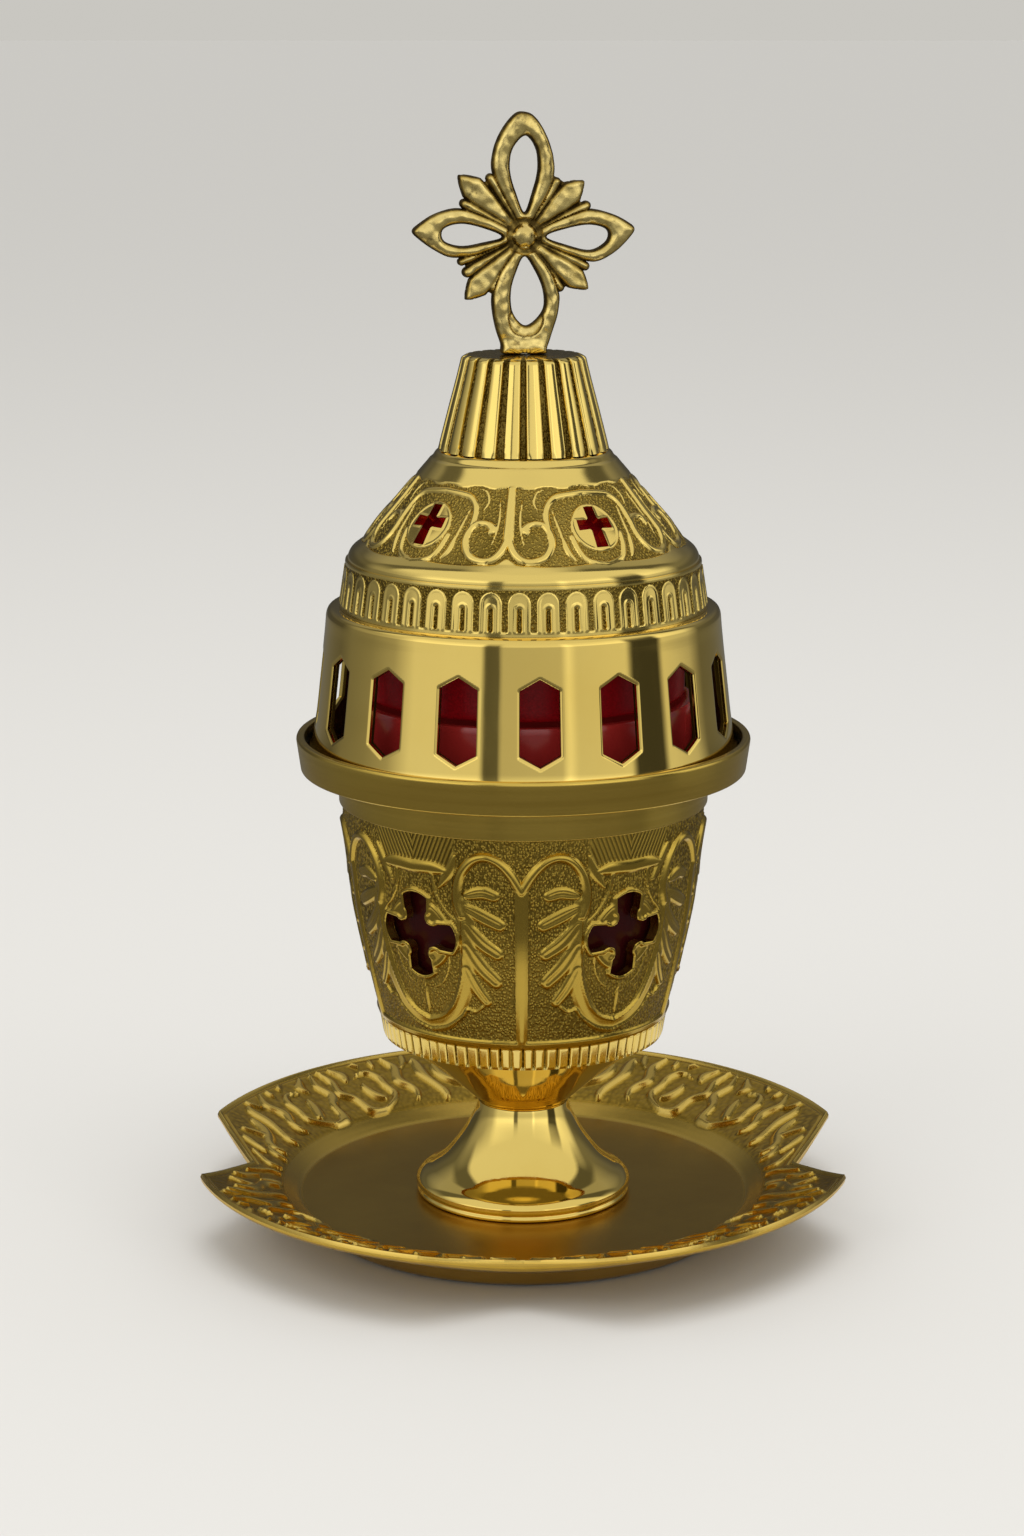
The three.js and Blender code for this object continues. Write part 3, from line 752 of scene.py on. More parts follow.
# The gallery's inner side is painted dark, as shade inside the lid.
GALLERY_BRASS = polished_brass("gallery_brass", PATINA_AND_SHADE), "polished_brass"
CUP_BRASS = cast_brass("cast_brass"), "cast_brass"
DOME_BRASS = cast_brass(
    "chased_brass", raised=colour(0.95, 0.71, 0.20), ground=colour(0.59, 0.41, 0.075), sheen=0.14, cell=0.5
), "cast_brass"
ARCADE_BRASS = cast_brass(
    "arcade_brass", raised=colour(0.98, 0.74, 0.21), ground=colour(0.55, 0.38, 0.065), sheen=0.12
), "cast_brass"
CAP_BRASS = cast_brass(
    "cap_brass", raised=PALE_GOLD, ground=colour(0.22, 0.145, 0.02), sheen=0.11, rough=0.5, cell=0.5
), "polished_brass"
TURNED = turned_brass(), "turned_brass"
PLATE_BRASS = plate_brass(), "plate_brass"
ANTIQUE = antique_brass(), "antique_brass"
STEEL = steel(), "steel"
# Both glasses glow faintly as painted light, and the oil glass is painted darker below the rim ring's foot,
# as shade inside the cup.
OIL_RUBY = ruby_glass(
    "ruby_glass", colour(0.38, 0.024, 0.020), colour(0.22, 0.008, 0.008), roughness=0.2, speckle=0.3,
    shaded_below=RIM.bottom, glow=0.06
), "ruby_glass"
LINER_RUBY = ruby_glass(
    "ruby_liner", colour(0.25, 0.002, 0.005), colour(0.11, 0.001, 0.002), roughness=0.34, speckle=0.8,
    glow=0.12
), "ruby_glass"
CORK_GRAIN = cork_material(), "cork"
FIBRE = fibre_material(), "fibre"
COTTON = cotton_material(), "cotton"


# ---- pierced cup ----------------------------------------------------------------------------------

CUP_PANELS = 5
STEM_ANGLE = -0.5
CUP_HALF_COLUMNS = 80
CUP_MEAN_RADIUS = 35.0
CUP_SCALE = math.radians(1) * CUP_MEAN_RADIUS
CUP_CROSS_HEIGHT = CUP.bottom + 27.9
FLUTES_ROUND_CUP = 80


def on_cup(points):
    """Design points of (degrees from the stem, height above the cup's foot) in millimetres."""
    return [(a * CUP_SCALE, CUP.bottom + h) for a, h in points]


def cup_cross(x, y):
    """Signed distance to a cross whose arms widen past four small round knobs, negative inside."""
    reach, waist, knob_place, knob_radius = 8.8, 2.5, 3.8, 1.65
    centre = 180 / CUP_PANELS * CUP_SCALE
    u, v = np.abs(x - centre), np.abs(y - CUP_CROSS_HEIGHT)
    long, short = np.maximum(u, v), np.minimum(u, v)
    knob = knob_radius - np.hypot(long - knob_place, short - knob_place)
    side = short - (waist + 0.07 * (long - 3))
    tip = long - (reach - 0.12 * short**2)
    return np.maximum.reduce([knob, side, tip])


def cup_shapes(x, y):
    """Heights of the smooth raised ornament on half a panel, in millimetres above the stippled ground."""
    panel_edge = 180 / CUP_PANELS
    shapes = []

    def stroke(points, half_width, height, **more):
        shapes.append(ridge(x, y, on_cup(points), half_width, height, **more))

    stroke([(0, 5.0), (0, 38.9)], 1.5, 0.66, power=3)
    arch = [(0, 38.3), (3.4, 41.8), (7.3, 44.3), (11.6, 45.2), (15.7, 44.2), (19, 41.6), (20.6, 38.4)]
    stroke(arch + [(20.7, 35.6), (19.4, 32.9)], 1.15, 0.95)
    spine = [(19.7, 35.2), (18.1, 30.8), (17.6, 26.6), (18.3, 21.6), (20.4, 16.6), (24.2, 12.2), (29.6, 9.4)]
    stroke(spine + [(36, 8.45)], 2.1, 0.6, power=2.6, hollow=0.25)
    contour = [(20.6, 35.4), (19.4, 31.7), (19.2, 27.8), (19.8, 22.9), (20.8, 19.4), (22.8, 15.9)]
    stroke(contour + [(25.6, 12.9), (30.2, 10.7), (36, 9.5)], 0.42, 0.78)
    stroke([(13.8, 13.8), (16.6, 12.6), (19.6, 12.9), (22.3, 11.0), (28.7, 8.5), (36, 7.45)], 0.45, 0.76)
    fingers = [
        ([(17.4, 37.2), (12.4, 37.9), (8.6, 37.3)], 1.5),
        ([(17.8, 34.6), (12.6, 33.0), (7.0, 31.3)], 1.65),
        ([(18.2, 31.2), (13.4, 27.6), (8.0, 25.2)], 1.75),
        ([(18.4, 26.8), (14.0, 22.4), (8.8, 19.2)], 1.9),
        ([(18.9, 21.8), (15.8, 17.8), (12.4, 14.9)], 1.55),
    ]
    for points, half_width in fingers:
        stroke(points, half_width, 0.8, ends=(0.6, 0.85), power=2.4, hollow=0.42)
    stroke([(23.0, 41.7), (29.5, 42.1), (panel_edge, 41.9)], 1.5, 0.62, ends=(0.05, 1.0), power=3)
    stroke([(20.8, 45.4), (22.6, 42.2), (26.8, 38.2)], 1.2, 0.6, ends=(0.1, 0.2), power=3)
    thin_stem = [(29.1, 42.0), (28.5, 37.4), (25.5, 34.0), (21.8, 31.6), (19.7, 29.2)]
    stroke(thin_stem, 0.4, 0.5)
    stroke([(24.6, 27.9), (25.2, 22.0), (28.2, 18.2), (32.5, 16.6)], 0.3, 0.32, ends=(0.1, 0.1))
    stroke([(panel_edge, 17.6), (panel_edge, 11.0)], 0.5, 0.42, ends=(0.1, 0.6))
    centre = panel_edge * CUP_SCALE
    away = np.hypot(x - centre, y - CUP_CROSS_HEIGHT)
    disc = 0.42 * (1 - smooth_step(away, 7.3, 8.2))
    shapes.append(disc + 0.14 * (1 - smooth_step(np.abs(away - 7.3), 0.2, 0.6)))
    shapes.append(0.8 * (1 - smooth_step(np.abs(cup_cross(x, y) - 0.35), 0.15, 0.75)))
    rim = 0.6 * (1 - smooth_step(y - CUP.bottom, 5.9, 6.5))
    shapes.append(rim)
    return np.maximum.reduce(shapes)


def cup_hatching(x, y):
    """Where fanned chisel lines cover the crown of each panel, and the count of lines at each point."""
    zone = smooth_step(y - CUP.bottom, 42.6, 43.4) * smooth_step(x / CUP_SCALE, 20.5, 22)
    return zone, (1.05 * x + 0.45 * (y - CUP.bottom)) / 0.95


def gadroons(turn, share):
    """Height and polish of the flutes under the cup, where share runs from 0 to 1 up their band."""
    flute = np.abs(np.sin(np.pi * FLUTES_ROUND_CUP * turn + 0.25 * np.sin(turn * 90)))
    on_band = smooth_step(share, 0.0, 0.12) * (1 - smooth_step(share, 0.88, 1.0))
    height = 0.55 * np.minimum(flute * 1.9, 1.0) - 0.45
    return height * on_band, np.where(on_band > 0.5, smooth_step(flute, 0.06, 0.24) * 1.3 - 0.3, 1)


def cup_wall(key, path, knots):
    """Radius and height of the cup's inside, at places along its outside."""
    floor, ledge, hole, well, seat, wall = 3.15, 9.25, 3.2, 24.5, 28.2, 1.8
    r, z, _, _ = path.at(key)
    above = key > knots[-1]
    inner_r = np.interp(key, knots, [hole, well, well, seat])
    inner_z = np.interp(key, knots, [floor, floor, ledge, ledge])
    wall_r, wall_z = np.maximum(r - wall, seat), np.maximum(z, ledge)
    return np.where(above, wall_r, inner_r), np.where(above, wall_z, inner_z)


def pierced_cup():
    wall = [(30.0, 6.45), (31.1, 10.75), (33.0, 19.25), (34.7, 27.85), (35.7, 36.15), (36.4, 42.45)]
    wall = spline(wall + [(37.0, 48.65)], 10)
    path = Outline([(3.2, 0.0), (15.0, 0.0), (28.6, 0.0), (29.4, 4.75), *wall])
    edge, band, wall_foot, top = path.key[[2, 3, 4, -1]]
    rows = graded([0, edge, band, wall_foot, top], [4, 18, 6, 165])
    heights = CUP.bottom + path.at(rows)[1]
    panel = TurnedRelief(CUP_PANELS, CUP_HALF_COLUMNS, heights, CUP_MEAN_RADIUS, STEM_ANGLE)
    underside = heights <= CUP.bottom + 1e-6
    panel.y += np.where(underside, np.arange(len(rows)) * 1e-5, 0)  # no two rows may share a height
    panel.fit(cup_cross)
    shift = panel.around(panel.y - heights)
    on_wall = rows >= band

    shapes = panel.around(cup_shapes(panel.x, panel.y))
    zone, phase = (panel.around(v) for v in cup_hatching(panel.x, panel.y))
    angle = panel.angles()
    turn = angle / 360
    level = panel.around(panel.y) - CUP.bottom
    grain_size, grains_round = 0.72, 316
    ground = 0.2 * pebbles(turn, level / grain_size, grains_round) * (1 - zone)
    relief = np.maximum(shapes, ground) - 0.36

    band_share = (rows - edge) / (band - edge)
    fluting, polish = gadroons(turn, band_share)
    lift = np.where(on_wall, relief, fluting)
    relief_tint = np.where(on_wall, 0.85 * smooth_step(shapes, 0.04, 0.3), polish)
    tint = np.stack([relief_tint, zone * on_wall, phase], -1)

    slant = 1.02  # length along the wall for each millimetre of height
    key = np.clip(rows + shift * slant, 0, top)
    r, z, out, rise = path.at(key)
    steady = on_wall | (band_share > 0)
    out = np.where(steady, out, 0)
    rise = np.where(steady, rise, -1)
    outer = placed(angle, r + out * lift, z + rise * lift + CUP.bottom)
    ledge_key = np.interp(8.0, path.curve[4:, 1], path.key[4:])
    inner_r, inner_z = cup_wall(key, path, [0, edge, band, ledge_key])
    inner = placed(angle, inner_r, CUP.bottom + inner_z)
    solid = shell(outer, inner, panel.around(panel.keep), tint=tint, stride=(4, 2))
    make_piece("chased_cup", solid, "stand", CUP_BRASS, "pierced_cup", 62)


# ---- lid: arcade band and domed roof --------------------------------------------------------------

ARCHES = 41
ARCH_HALF_COLUMNS = 12
ARCH_ANGLE = -1.2
ARCH_RADIUS = 36.0
BAND_FOOT = DOME.bottom + 2.25
BAND_TOP = BAND_FOOT + 9.35


def arcade(x, y):
    """Height and polish of one arch: x from its middle line, y above the band's foot."""
    half_width, spring = 2.2, 6.1
    slot_half, slot_foot, slot_top = 0.42, 0.95, 5.2
    rise, band_height = 0.36, 9.35
    tongue = np.where(y < spring, np.abs(x) - half_width, np.hypot(x, (y - spring) * 0.92) - half_width)
    slot = np.where(y < slot_top, np.abs(x), np.hypot(x, y - slot_top)) - slot_half
    slot = np.maximum(slot, slot_foot - y)
    body = 1 - smooth_step(tongue, -0.18, 0.16)
    border = 1 - smooth_step(np.abs(tongue + 0.32), 0.14, 0.4)
    slot_border = 1 - smooth_step(np.abs(slot - 0.28), 0.1, 0.34)
    opening = 1 - smooth_step(slot, -0.2, 0.12)
    height = rise * body + 0.12 * np.maximum(border, slot_border * body) - 0.8 * opening
    rails = np.maximum(1 - smooth_step(y, 0.75, 0.95), smooth_step(y, band_height - 0.6, band_height - 0.4))
    height = height * (1 - rails) + rise * rails
    return height, np.maximum(body * (1 - opening), rails)


def arcade_band():
    foot, top = BAND_FOOT - DOME.bottom, BAND_TOP - DOME.bottom
    path = Outline([(34.6, 0), (34.6, foot), (36.75, foot), (36.7, foot + 0.8), (35.5, top), (33.6, top)])
    _, ledge, face, _, head, end = path.key
    rows = graded([0, ledge, face, head, end], [2, 3, 45, 3])
    panel = TurnedRelief(ARCHES, ARCH_HALF_COLUMNS, rows - face, ARCH_RADIUS, ARCH_ANGLE)
    height, polish = (panel.around(v) for v in arcade(panel.x, panel.y))
    angle = panel.angles()
    grain_size, grains_round = 0.5, 460
    grains = pebbles(angle / 360, np.maximum(panel.around(panel.y), 0) / grain_size, grains_round)
    on_band = (rows >= face) & (rows <= head)
    lift = np.where(on_band, height + (1 - polish) * 0.16 * grains - 0.3, 0)
    tint = np.where(on_band, 1.1 * polish - 0.15 * (1 - polish), 1)
    r, z, out, rise = path.at(rows)
    outer = placed(angle, r + out * lift, DOME.bottom + z + rise * lift)
    inner_z = np.interp(rows, [0, ledge, head, end], [0, foot, top, top])
    inner = placed(angle, 33.1, DOME.bottom + inner_z)
    solid = shell(outer, inner, panel.around(panel.keep), tint=tint, stride=(6, 4))
    make_piece("arcade_band", solid, "lid", ARCADE_BRASS)


DOME_PANELS = 5
DOME_HALF_COLUMNS = 90
DOME_STEM_ANGLE = -5.9
DOME_MEAN_RADIUS = 28.0
DOME_SCALE = math.radians(1) * DOME_MEAN_RADIUS
CONE_SLANT = 1.306
CONE_FOOT = BAND_TOP + 3.6
DOME_CROSS_HEIGHT = 6.0 * CONE_SLANT


def on_dome(points):
    """Design points of (degrees from the stem, height above the cone's foot), laid out on the slope."""
    return [(a * DOME_SCALE, h * CONE_SLANT) for a, h in points]


def latin_cross(x, y):
    """Signed distance to a cross with softly flared arms, negative inside."""
    centre = 180 / DOME_PANELS * DOME_SCALE
    bar_above_middle, half_height, half_bar = 0.55, 4.6, 3.7
    u, v = np.abs(x - centre), y - DOME_CROSS_HEIGHT - bar_above_middle
    upright = np.maximum(u - 1.05 - 0.035 * np.abs(v), np.abs(v + bar_above_middle) - half_height)
    bar = np.maximum(np.abs(v) - 1.0 - 0.06 * u, u - half_bar)
    return np.minimum(upright, bar)


def dome_shapes(x, y):
    """Smooth raised ornament on half a panel of the cone, in millimetres above the ground."""
    panel_edge = 180 / DOME_PANELS
    shapes = []

    def stroke(points, half_width, height, **more):
        shapes.append(ridge(x, y, on_dome(points), 1.4 * half_width, 1.15 * height, **more))

    stroke([(0, 4.2), (0, 14.4)], 0.82, 0.52, power=4)
    volute = [(0, 4.6), (2.2, 2.4), (5.3, 1.0), (9, 0.7), (13.5, 1.4), (16.4, 3.3), (16.6, 5.2), (14.2, 6.8)]
    stroke(volute + [(10.4, 7.1), (7.4, 6.6)], 0.62, 0.56, power=2.6, ends=(1, 0.8))
    stroke([(8.4, 6.9), (6.8, 6.2), (7.6, 5.3)], 0.75, 0.52, power=3, ends=(0.8, 0.4))
    tendril = [(16.6, 4.6), (15.7, 7.7), (16.6, 9.9), (19.6, 11.2), (24.2, 11.8), (36, 12.2)]
    stroke(tendril, 0.62, 0.52, power=2.6)
    stroke([(5.4, 11.4), (4.5, 8.3), (4.9, 5.7), (6.0, 3.5)], 0.26, 0.3, ends=(0.2, 0.3))
    stroke([(12.3, 9.3), (10.8, 10.8), (12.6, 12.4), (16.0, 12.9)], 0.3, 0.3, ends=(0.2, 0.2))
    stroke([(18.9, 9.2), (20.3, 6.4), (21.6, 3.6), (24.4, 1.2)], 0.32, 0.34, ends=(0.3, 0.2))
    stroke([(25.0, 4.6), (26.5, 2.3), (29.4, 0.6), (panel_edge, -0.2)], 0.5, 0.46, power=3)
    stroke([(21.2, 4.4), (22.4, 2.2), (24.6, 0.6)], 0.55, 0.44, ends=(0.3, 0.2))
    away = np.hypot(x - panel_edge * DOME_SCALE, (y - DOME_CROSS_HEIGHT) * 0.94)
    disc = 0.44 * (1 - smooth_step(away, 4.9, 5.25))
    lip = 0.14 * (1 - smooth_step(np.abs(away - 4.85), 0.12, 0.4))
    shapes.append(disc + lip)
    shapes.append(0.56 * (1 - smooth_step(np.abs(latin_cross(x, y) - 0.1), 0.12, 0.4)))
    degrees = x / DOME_SCALE
    foot_edge = -0.1 + 1.3 * np.exp(-((degrees / 2.6) ** 2)) + 0.25 * np.cos(np.radians(degrees * 10))
    shapes.append(0.42 * (1 - smooth_step(y, foot_edge - 0.2, foot_edge + 0.25)))
    head_edge = 16.9 + 0.3 * np.cos(np.radians(degrees * 20))
    shapes.append(0.4 * smooth_step(y, head_edge, head_edge + 0.5))
    return np.maximum.reduce(shapes)


def dome_roof():
    bead = spline([(34.9, 0.0), (34.8, 0.9), (34.1, 2.1), (32.7, 3.2), (31.9, 3.75)], 8)
    cone = spline([(31.9, 3.75), (28.9, 7.9), (25.4, 11.9), (22.1, 15.8), (20.4, 17.8)], 10)[1:]
    collar = spline([(20.4, 17.8), (19.2, 19.2), (18.45, 20.1)], 5)[1:]
    step = [(18.1, 20.25), (17.9, 20.5), (17.4, 21.3), (16.9, 21.75), (16.2, 21.9), (2.3, 21.9)]
    path = Outline([*bead, *cone, *collar, *step])
    cone_foot = np.interp(CONE_FOOT - BAND_TOP, path.curve[:-1, 1], path.key[:-1])
    cone_length = 18.4
    cone_head = cone_foot + cone_length
    shoulder, end = path.key[-2:]
    rows = graded([0, cone_foot, cone_head, shoulder, end], [19, 81, 23, 5])
    panel = TurnedRelief(DOME_PANELS, DOME_HALF_COLUMNS, rows - cone_foot, DOME_MEAN_RADIUS, DOME_STEM_ANGLE)
    panel.fit(latin_cross)
    shapes = panel.around(dome_shapes(panel.x, panel.y))
    angle = panel.angles()
    up = panel.around(panel.y)
    key = np.clip(up + cone_foot, 0, end)
    r, z, out, rise = path.at(key)

    grains_round, finer = 300, 0.62
    turn = angle / 360
    grain_size = 2 * np.pi * DOME_MEAN_RADIUS / grains_round
    grains = 0.55 * pebbles(turn, np.maximum(up, 0) / grain_size, grains_round)
    grains += 0.45 * pebbles(turn, np.maximum(up, 0) / (finer * grain_size), int(grains_round / finer))
    chased = smooth_step(up, -0.8, -0.4) * (1 - smooth_step(up, 17.2, 17.6))
    lift = (np.maximum(shapes, 0.2 * grains) - 0.28) * chased
    lift = np.where(key > shoulder - 1, 0, lift + 0.16 * (1 - chased))
    smooth = np.maximum(smooth_step(shapes, 0.05, 0.3), 1 - chased)
    tint = np.maximum(0.85 * smooth, 1 - chased)
    outer = placed(angle, r + out * lift, BAND_TOP + z + rise * lift)

    wall, hole, crown = 1.6, 2.3, 19.6
    inner_r = np.maximum(r - wall * np.maximum(out, 0.35) * 1.1, hole)
    inner_r = np.where(key > shoulder, r, inner_r)
    inner_z = np.minimum(z - wall * np.clip(rise, 0, 1), crown)
    inner = placed(angle, inner_r, BAND_TOP + np.maximum(inner_z, 0))
    solid = shell(outer, inner, panel.around(panel.keep), tint=tint, stride=(4, 3))
    make_piece("dome_roof", solid, "lid", DOME_BRASS, "lid_dome", 62)


# ---- lid: windowed gallery ------------------------------------------------------------------------

WINDOWS = 16
WINDOW_ANGLE = 4.5
WINDOW_HALF_COLUMNS = 32
GALLERY_MEAN_RADIUS = 41.0
WINDOW_FOOT = GALLERY.bottom + 5.9
WINDOW_HEAD = GALLERY.bottom + 22.9


def window(x, y):
    """Signed distance to an upright six-sided window, negative inside. y counts from the gallery's foot."""
    middle = (WINDOW_FOOT + WINDOW_HEAD) / 2 - GALLERY.bottom
    half_height = (WINDOW_HEAD - WINDOW_FOOT) / 2
    half_width, shoulder = 3.95, 2.2
    u, v = np.abs(x), np.abs(y - middle)
    length = math.hypot(half_width, shoulder)
    slope = (shoulder * u + half_width * (v - half_height)) / length
    away = np.maximum(u - half_width, slope)
    corner_v = half_height - shoulder
    past = (u > half_width) & (v > corner_v) & (slope > 0)
    return np.where(past, np.maximum(np.hypot(u - half_width, v - corner_v), away), away)


def lid_gallery():
    foot = [(43.45, 0.0), (43.5, 0.5), (43.45, 1.5), (43.1, 2.2)]
    side = [(42.65, 2.9), (42.2, 5.0), (41.6, 9.2), (41.0, 14.4), (40.3, 20.4), (39.75, 25.4), (39.5, 28.2)]
    head = [(39.35, 28.9), (39.05, 29.5), (38.5, 29.85), (37.6, 29.95)]
    hole = 34.7
    path = Outline([*spline(foot + side + head, 40), (hole, 29.95)])
    edge, end = path.key[-2:]
    rows = graded([0, 3.2, 26.6, edge, end], [11, 83, 27, 4])
    panel = TurnedRelief(WINDOWS, WINDOW_HALF_COLUMNS, rows, GALLERY_MEAN_RADIUS, WINDOW_ANGLE)
    panel.fit(window)
    bevel_depth, bevel_width = 0.26, 0.42
    bevel = (1 - smooth_step(window(panel.x, panel.y), 0.0, bevel_width)) ** 1.4
    lift = panel.around(-bevel_depth * bevel)
    angle = panel.angles()
    up = panel.around(panel.y)
    r, z, out, rise = path.at(up)
    outer = placed(angle, r + out * lift, GALLERY.bottom + z + rise * lift)
    wall, under_top = 1.5, 27.9
    inner_r = np.where(up < edge - 2.4, r - wall, hole)
    inner = placed(angle, inner_r, GALLERY.bottom + np.clip(z, 0, under_top))
    keep, tint = panel.around(panel.keep), np.ones(angle.shape)
    # The inner side gets relief 0, which the gallery's material paints dark as shade.
    solid = shell(outer, inner, keep, tint=tint, stride=(4, 3), inner_relief=0)
    make_piece("window_gallery", solid, "lid", GALLERY_BRASS, "lid_gallery", 40)


# ---- lid: fluted cap ------------------------------------------------------------------------------

FLUTES = 22
COLUMNS_PER_FLUTE = 28


def fluted_cap():
    height = CAP.top - CAP.bottom
    side = spline([(16.75, 0.0), (16.1, 2.6), (14.6, 8.4), (13.2, 13.6), (12.15, 17.8)], 8)
    path = Outline([(16.0, 0.0), *side, (11.85, height - 0.25), (11.3, height), (2.3, height)])
    start, side_end, shoulder, edge, end = path.key[[1, -4, -3, -2, -1]]
    rows = graded([0, start, side_end, edge, end], [2, 61, 6, 7])
    angle, row = around_axis(FLUTES * COLUMNS_PER_FLUTE, rows)
    share = (angle / 360 * FLUTES) % 1
    from_groove = np.minimum(share, 1 - share)
    wobble = 0.02 * np.sin(angle / 360 * 2 * np.pi * 7 + 1.3) + 0.012 * np.sin(np.radians(angle) * 31)
    groove = 1 - smooth_step(from_groove + wobble, 0.1, 0.2)
    belly = 0.22 * np.sin(np.pi * np.clip((from_groove - 0.14) / 0.72, 0, 1))
    r, z, _, _ = path.at(row)
    foot_round = 1 - smooth_step(row, start, start + 1.3)
    head_round = smooth_step(row, side_end - 0.9, side_end + 0.1)
    on_top = row > shoulder
    scallop = 0.45 * (foot_round * (1 - np.sin(np.pi * share) ** 0.5))
    depth = np.where(on_top, 0, 0.95 * groove + scallop)
    grain_size, grains_round = 0.5, 190
    grains = pebbles(angle / 360, np.maximum(row - start, 0) / grain_size, grains_round)
    depth = depth + np.where(on_top, 0, 0.12 * groove * grains) - belly * (1 - groove) * ~on_top
    top_share = np.clip((r - depth - 8) / 4, 0, 1)
    top_depth = 0.8 * groove * top_share * smooth_step(r, 9, 11)
    radius = r - np.where(on_top, top_depth, depth)
    outer = placed(angle, radius, CAP.bottom + z - 0.12 * head_round * groove * ~on_top)
    stops, under = [0, start, side_end, edge, end], height - 2.4
    inner_r = np.interp(row, stops, [14.4, 14.4, 9.6, 6.0, 2.3])
    inner_z = np.interp(row, stops, [0, 0, under, under, under])
    inner = placed(angle, inner_r, CAP.bottom + inner_z)
    tint = np.where(on_top, 0.8, 1.0) - 1.15 * groove
    solid = shell(outer, inner, tint=tint, stride=(7, 4))
    make_piece("fluted_cap", solid, "lid", CAP_BRASS, "finial_cap", 55)


# ---- lid: cross finial ----------------------------------------------------------------------------

FINIAL_DROP = 23.05  # from the cross's centre down to its foot
FINIAL_CENTRE = CROSS.bottom + FINIAL_DROP
FINIAL_TURN = math.radians(9)
FINIAL_STEP = 0.2


def petal_outlines():
    """Closed outlines of the four petals and of their openings, as (right, up) from the centre."""
    top = [(0, 1.0), (-2.5, 4.6), (-5.1, 9.2), (-6.4, 13.1), (-5.8, 17.2), (-4.2, 20.6), (-1.9, 23.3)]
    top += [(-0.1, 23.8), (1.9, 23.0), (3.9, 20.3), (5.4, 16.6), (6.0, 12.6), (5.2, 9.0), (2.7, 4.6)]
    right = [(1.0, 0), (4.8, 2.3), (9.2, 4.2), (13.0, 5.1), (17.4, 4.1), (20.6, 2.5), (21.9, 1.2)]
    right += [(20.9, -0.6), (17.8, -3.5), (13.9, -5.2), (9.4, -4.1), (4.6, -2.1)]
    left = [(-1.0, 0), (-4.6, 2.3), (-9.0, 4.4), (-13.2, 5.4), (-17.4, 4.4), (-20.6, 2.5), (-22.0, 1.0)]
    left += [(-20.6, -0.6), (-17.6, -2.7), (-14.3, -4.1), (-9.4, -3.7), (-4.6, -2.0)]
    bottom = [(0, -1.0), (3.2, -4.2), (5.6, -7.4), (7.0, -11.4), (6.7, -15.2), (5.6, -18.8), (4.5, -22.0)]
    bottom += [(3.9, -23.0), (-3.9, -23.0), (-4.6, -21.0), (-5.9, -16.8), (-6.4, -11.8), (-5.2, -7.6)]
    bottom += [(-3.0, -4.2)]
    openings = [
        [(0.1, 4.5), (-1.6, 8.2), (-2.8, 12.6), (-2.3, 16.6), (0.2, 19.2), (2.3, 16.8), (2.7, 12.6),
         (1.6, 8.2)],
        [(4.4, -0.2), (8.4, 1.3), (13.0, 2.0), (16.4, 1.0), (16.3, -1.2), (13.2, -2.9), (8.6, -1.9)],
        [(-4.3, -0.2), (-8.4, 1.6), (-12.6, 2.4), (-15.9, 1.4), (-15.8, -0.8), (-12.4, -1.9), (-8.2, -1.3)],
        [(0.1, -4.0), (2.1, -6.6), (3.8, -10.6), (3.7, -14.6), (0.5, -17.5), (-2.2, -15.0), (-2.6, -10.8),
         (-1.5, -6.8)],
    ]
    petals = (top, right, left, bottom)
    return [[spline(p, 6, closed=True) for p in outlines] for outlines in (petals, openings)]


def finial_leaves():
    """Main leaves and ribs as (tip, greatest half width, pointed)."""
    return [
        ((-12.9, 11.7), 2.5, True), ((-7.1, 11.9), 0.95, False), ((-12.6, 6.7), 0.95, False),
        ((11.8, 10.5), 2.4, True), ((6.8, 11.1), 0.95, False), ((13.1, 6.1), 0.95, False),
        ((-11.6, -12.3), 2.3, True), ((-6.7, -10.6), 0.85, False), ((-13.1, -5.2), 0.8, False),
        ((-12.1, -7.5), 1.05, False),
        ((12.7, -10.5), 2.3, True), ((7.6, -10.8), 0.9, False), ((12.9, -6.4), 0.9, False),
    ]


def leaf_distance(x, y, tip, half_width, pointed):
    """Signed distance to a leaf or rib that widens from the centre, and the share of its length."""
    start, broad, root = 2.0, 0.8, 0.35  # where it starts, the share where it is widest, its width there
    length = math.hypot(*tip)
    ux, uy = tip[0] / length, tip[1] / length
    along = x * ux + y * uy
    across = np.abs(-x * uy + y * ux)
    share = np.clip(along / length, 0, 1)
    half = half_width * (root + (1 - root) * smooth_step(share, 0.15, broad))
    if pointed:
        point = half_width * np.clip((1 - share) / (1 - broad), 0, 1) ** 0.7
        side = across - np.where(share > broad, point, half)
        return np.maximum(side, np.maximum(start - along, along - length)), share
    side = np.hypot(np.maximum(along - (length - half_width), 0), across) - half
    return np.maximum(side, start - along), share


def rounded(share):
    """A quarter circle's height over the share of its width."""
    return np.sqrt(np.clip(1 - (1 - np.clip(share, 0, 1)) ** 2, 0, 1))


def finial_distances(x, y):
    """Signed distances to the petals, their openings and the whole cross, and those to each leaf."""
    web, web_reach, boss = 1.1, 12.9, 3.6
    petals, openings = petal_outlines()
    petal = np.minimum.reduce([outline_distance(x, y, p) for p in petals])
    opening = np.minimum.reduce([outline_distance(x, y, p) for p in openings])
    leaves = [leaf_distance(x, y, *leaf) for leaf in finial_leaves()]
    leaf = np.minimum.reduce([distance for distance, _ in leaves])
    centre = np.hypot(x, y)
    solid = np.minimum.reduce([petal, leaf, np.maximum(leaf - web, centre - web_reach), centre - boss])
    return petal, opening, np.maximum.reduce([solid, -opening, -FINIAL_DROP - y]), leaves


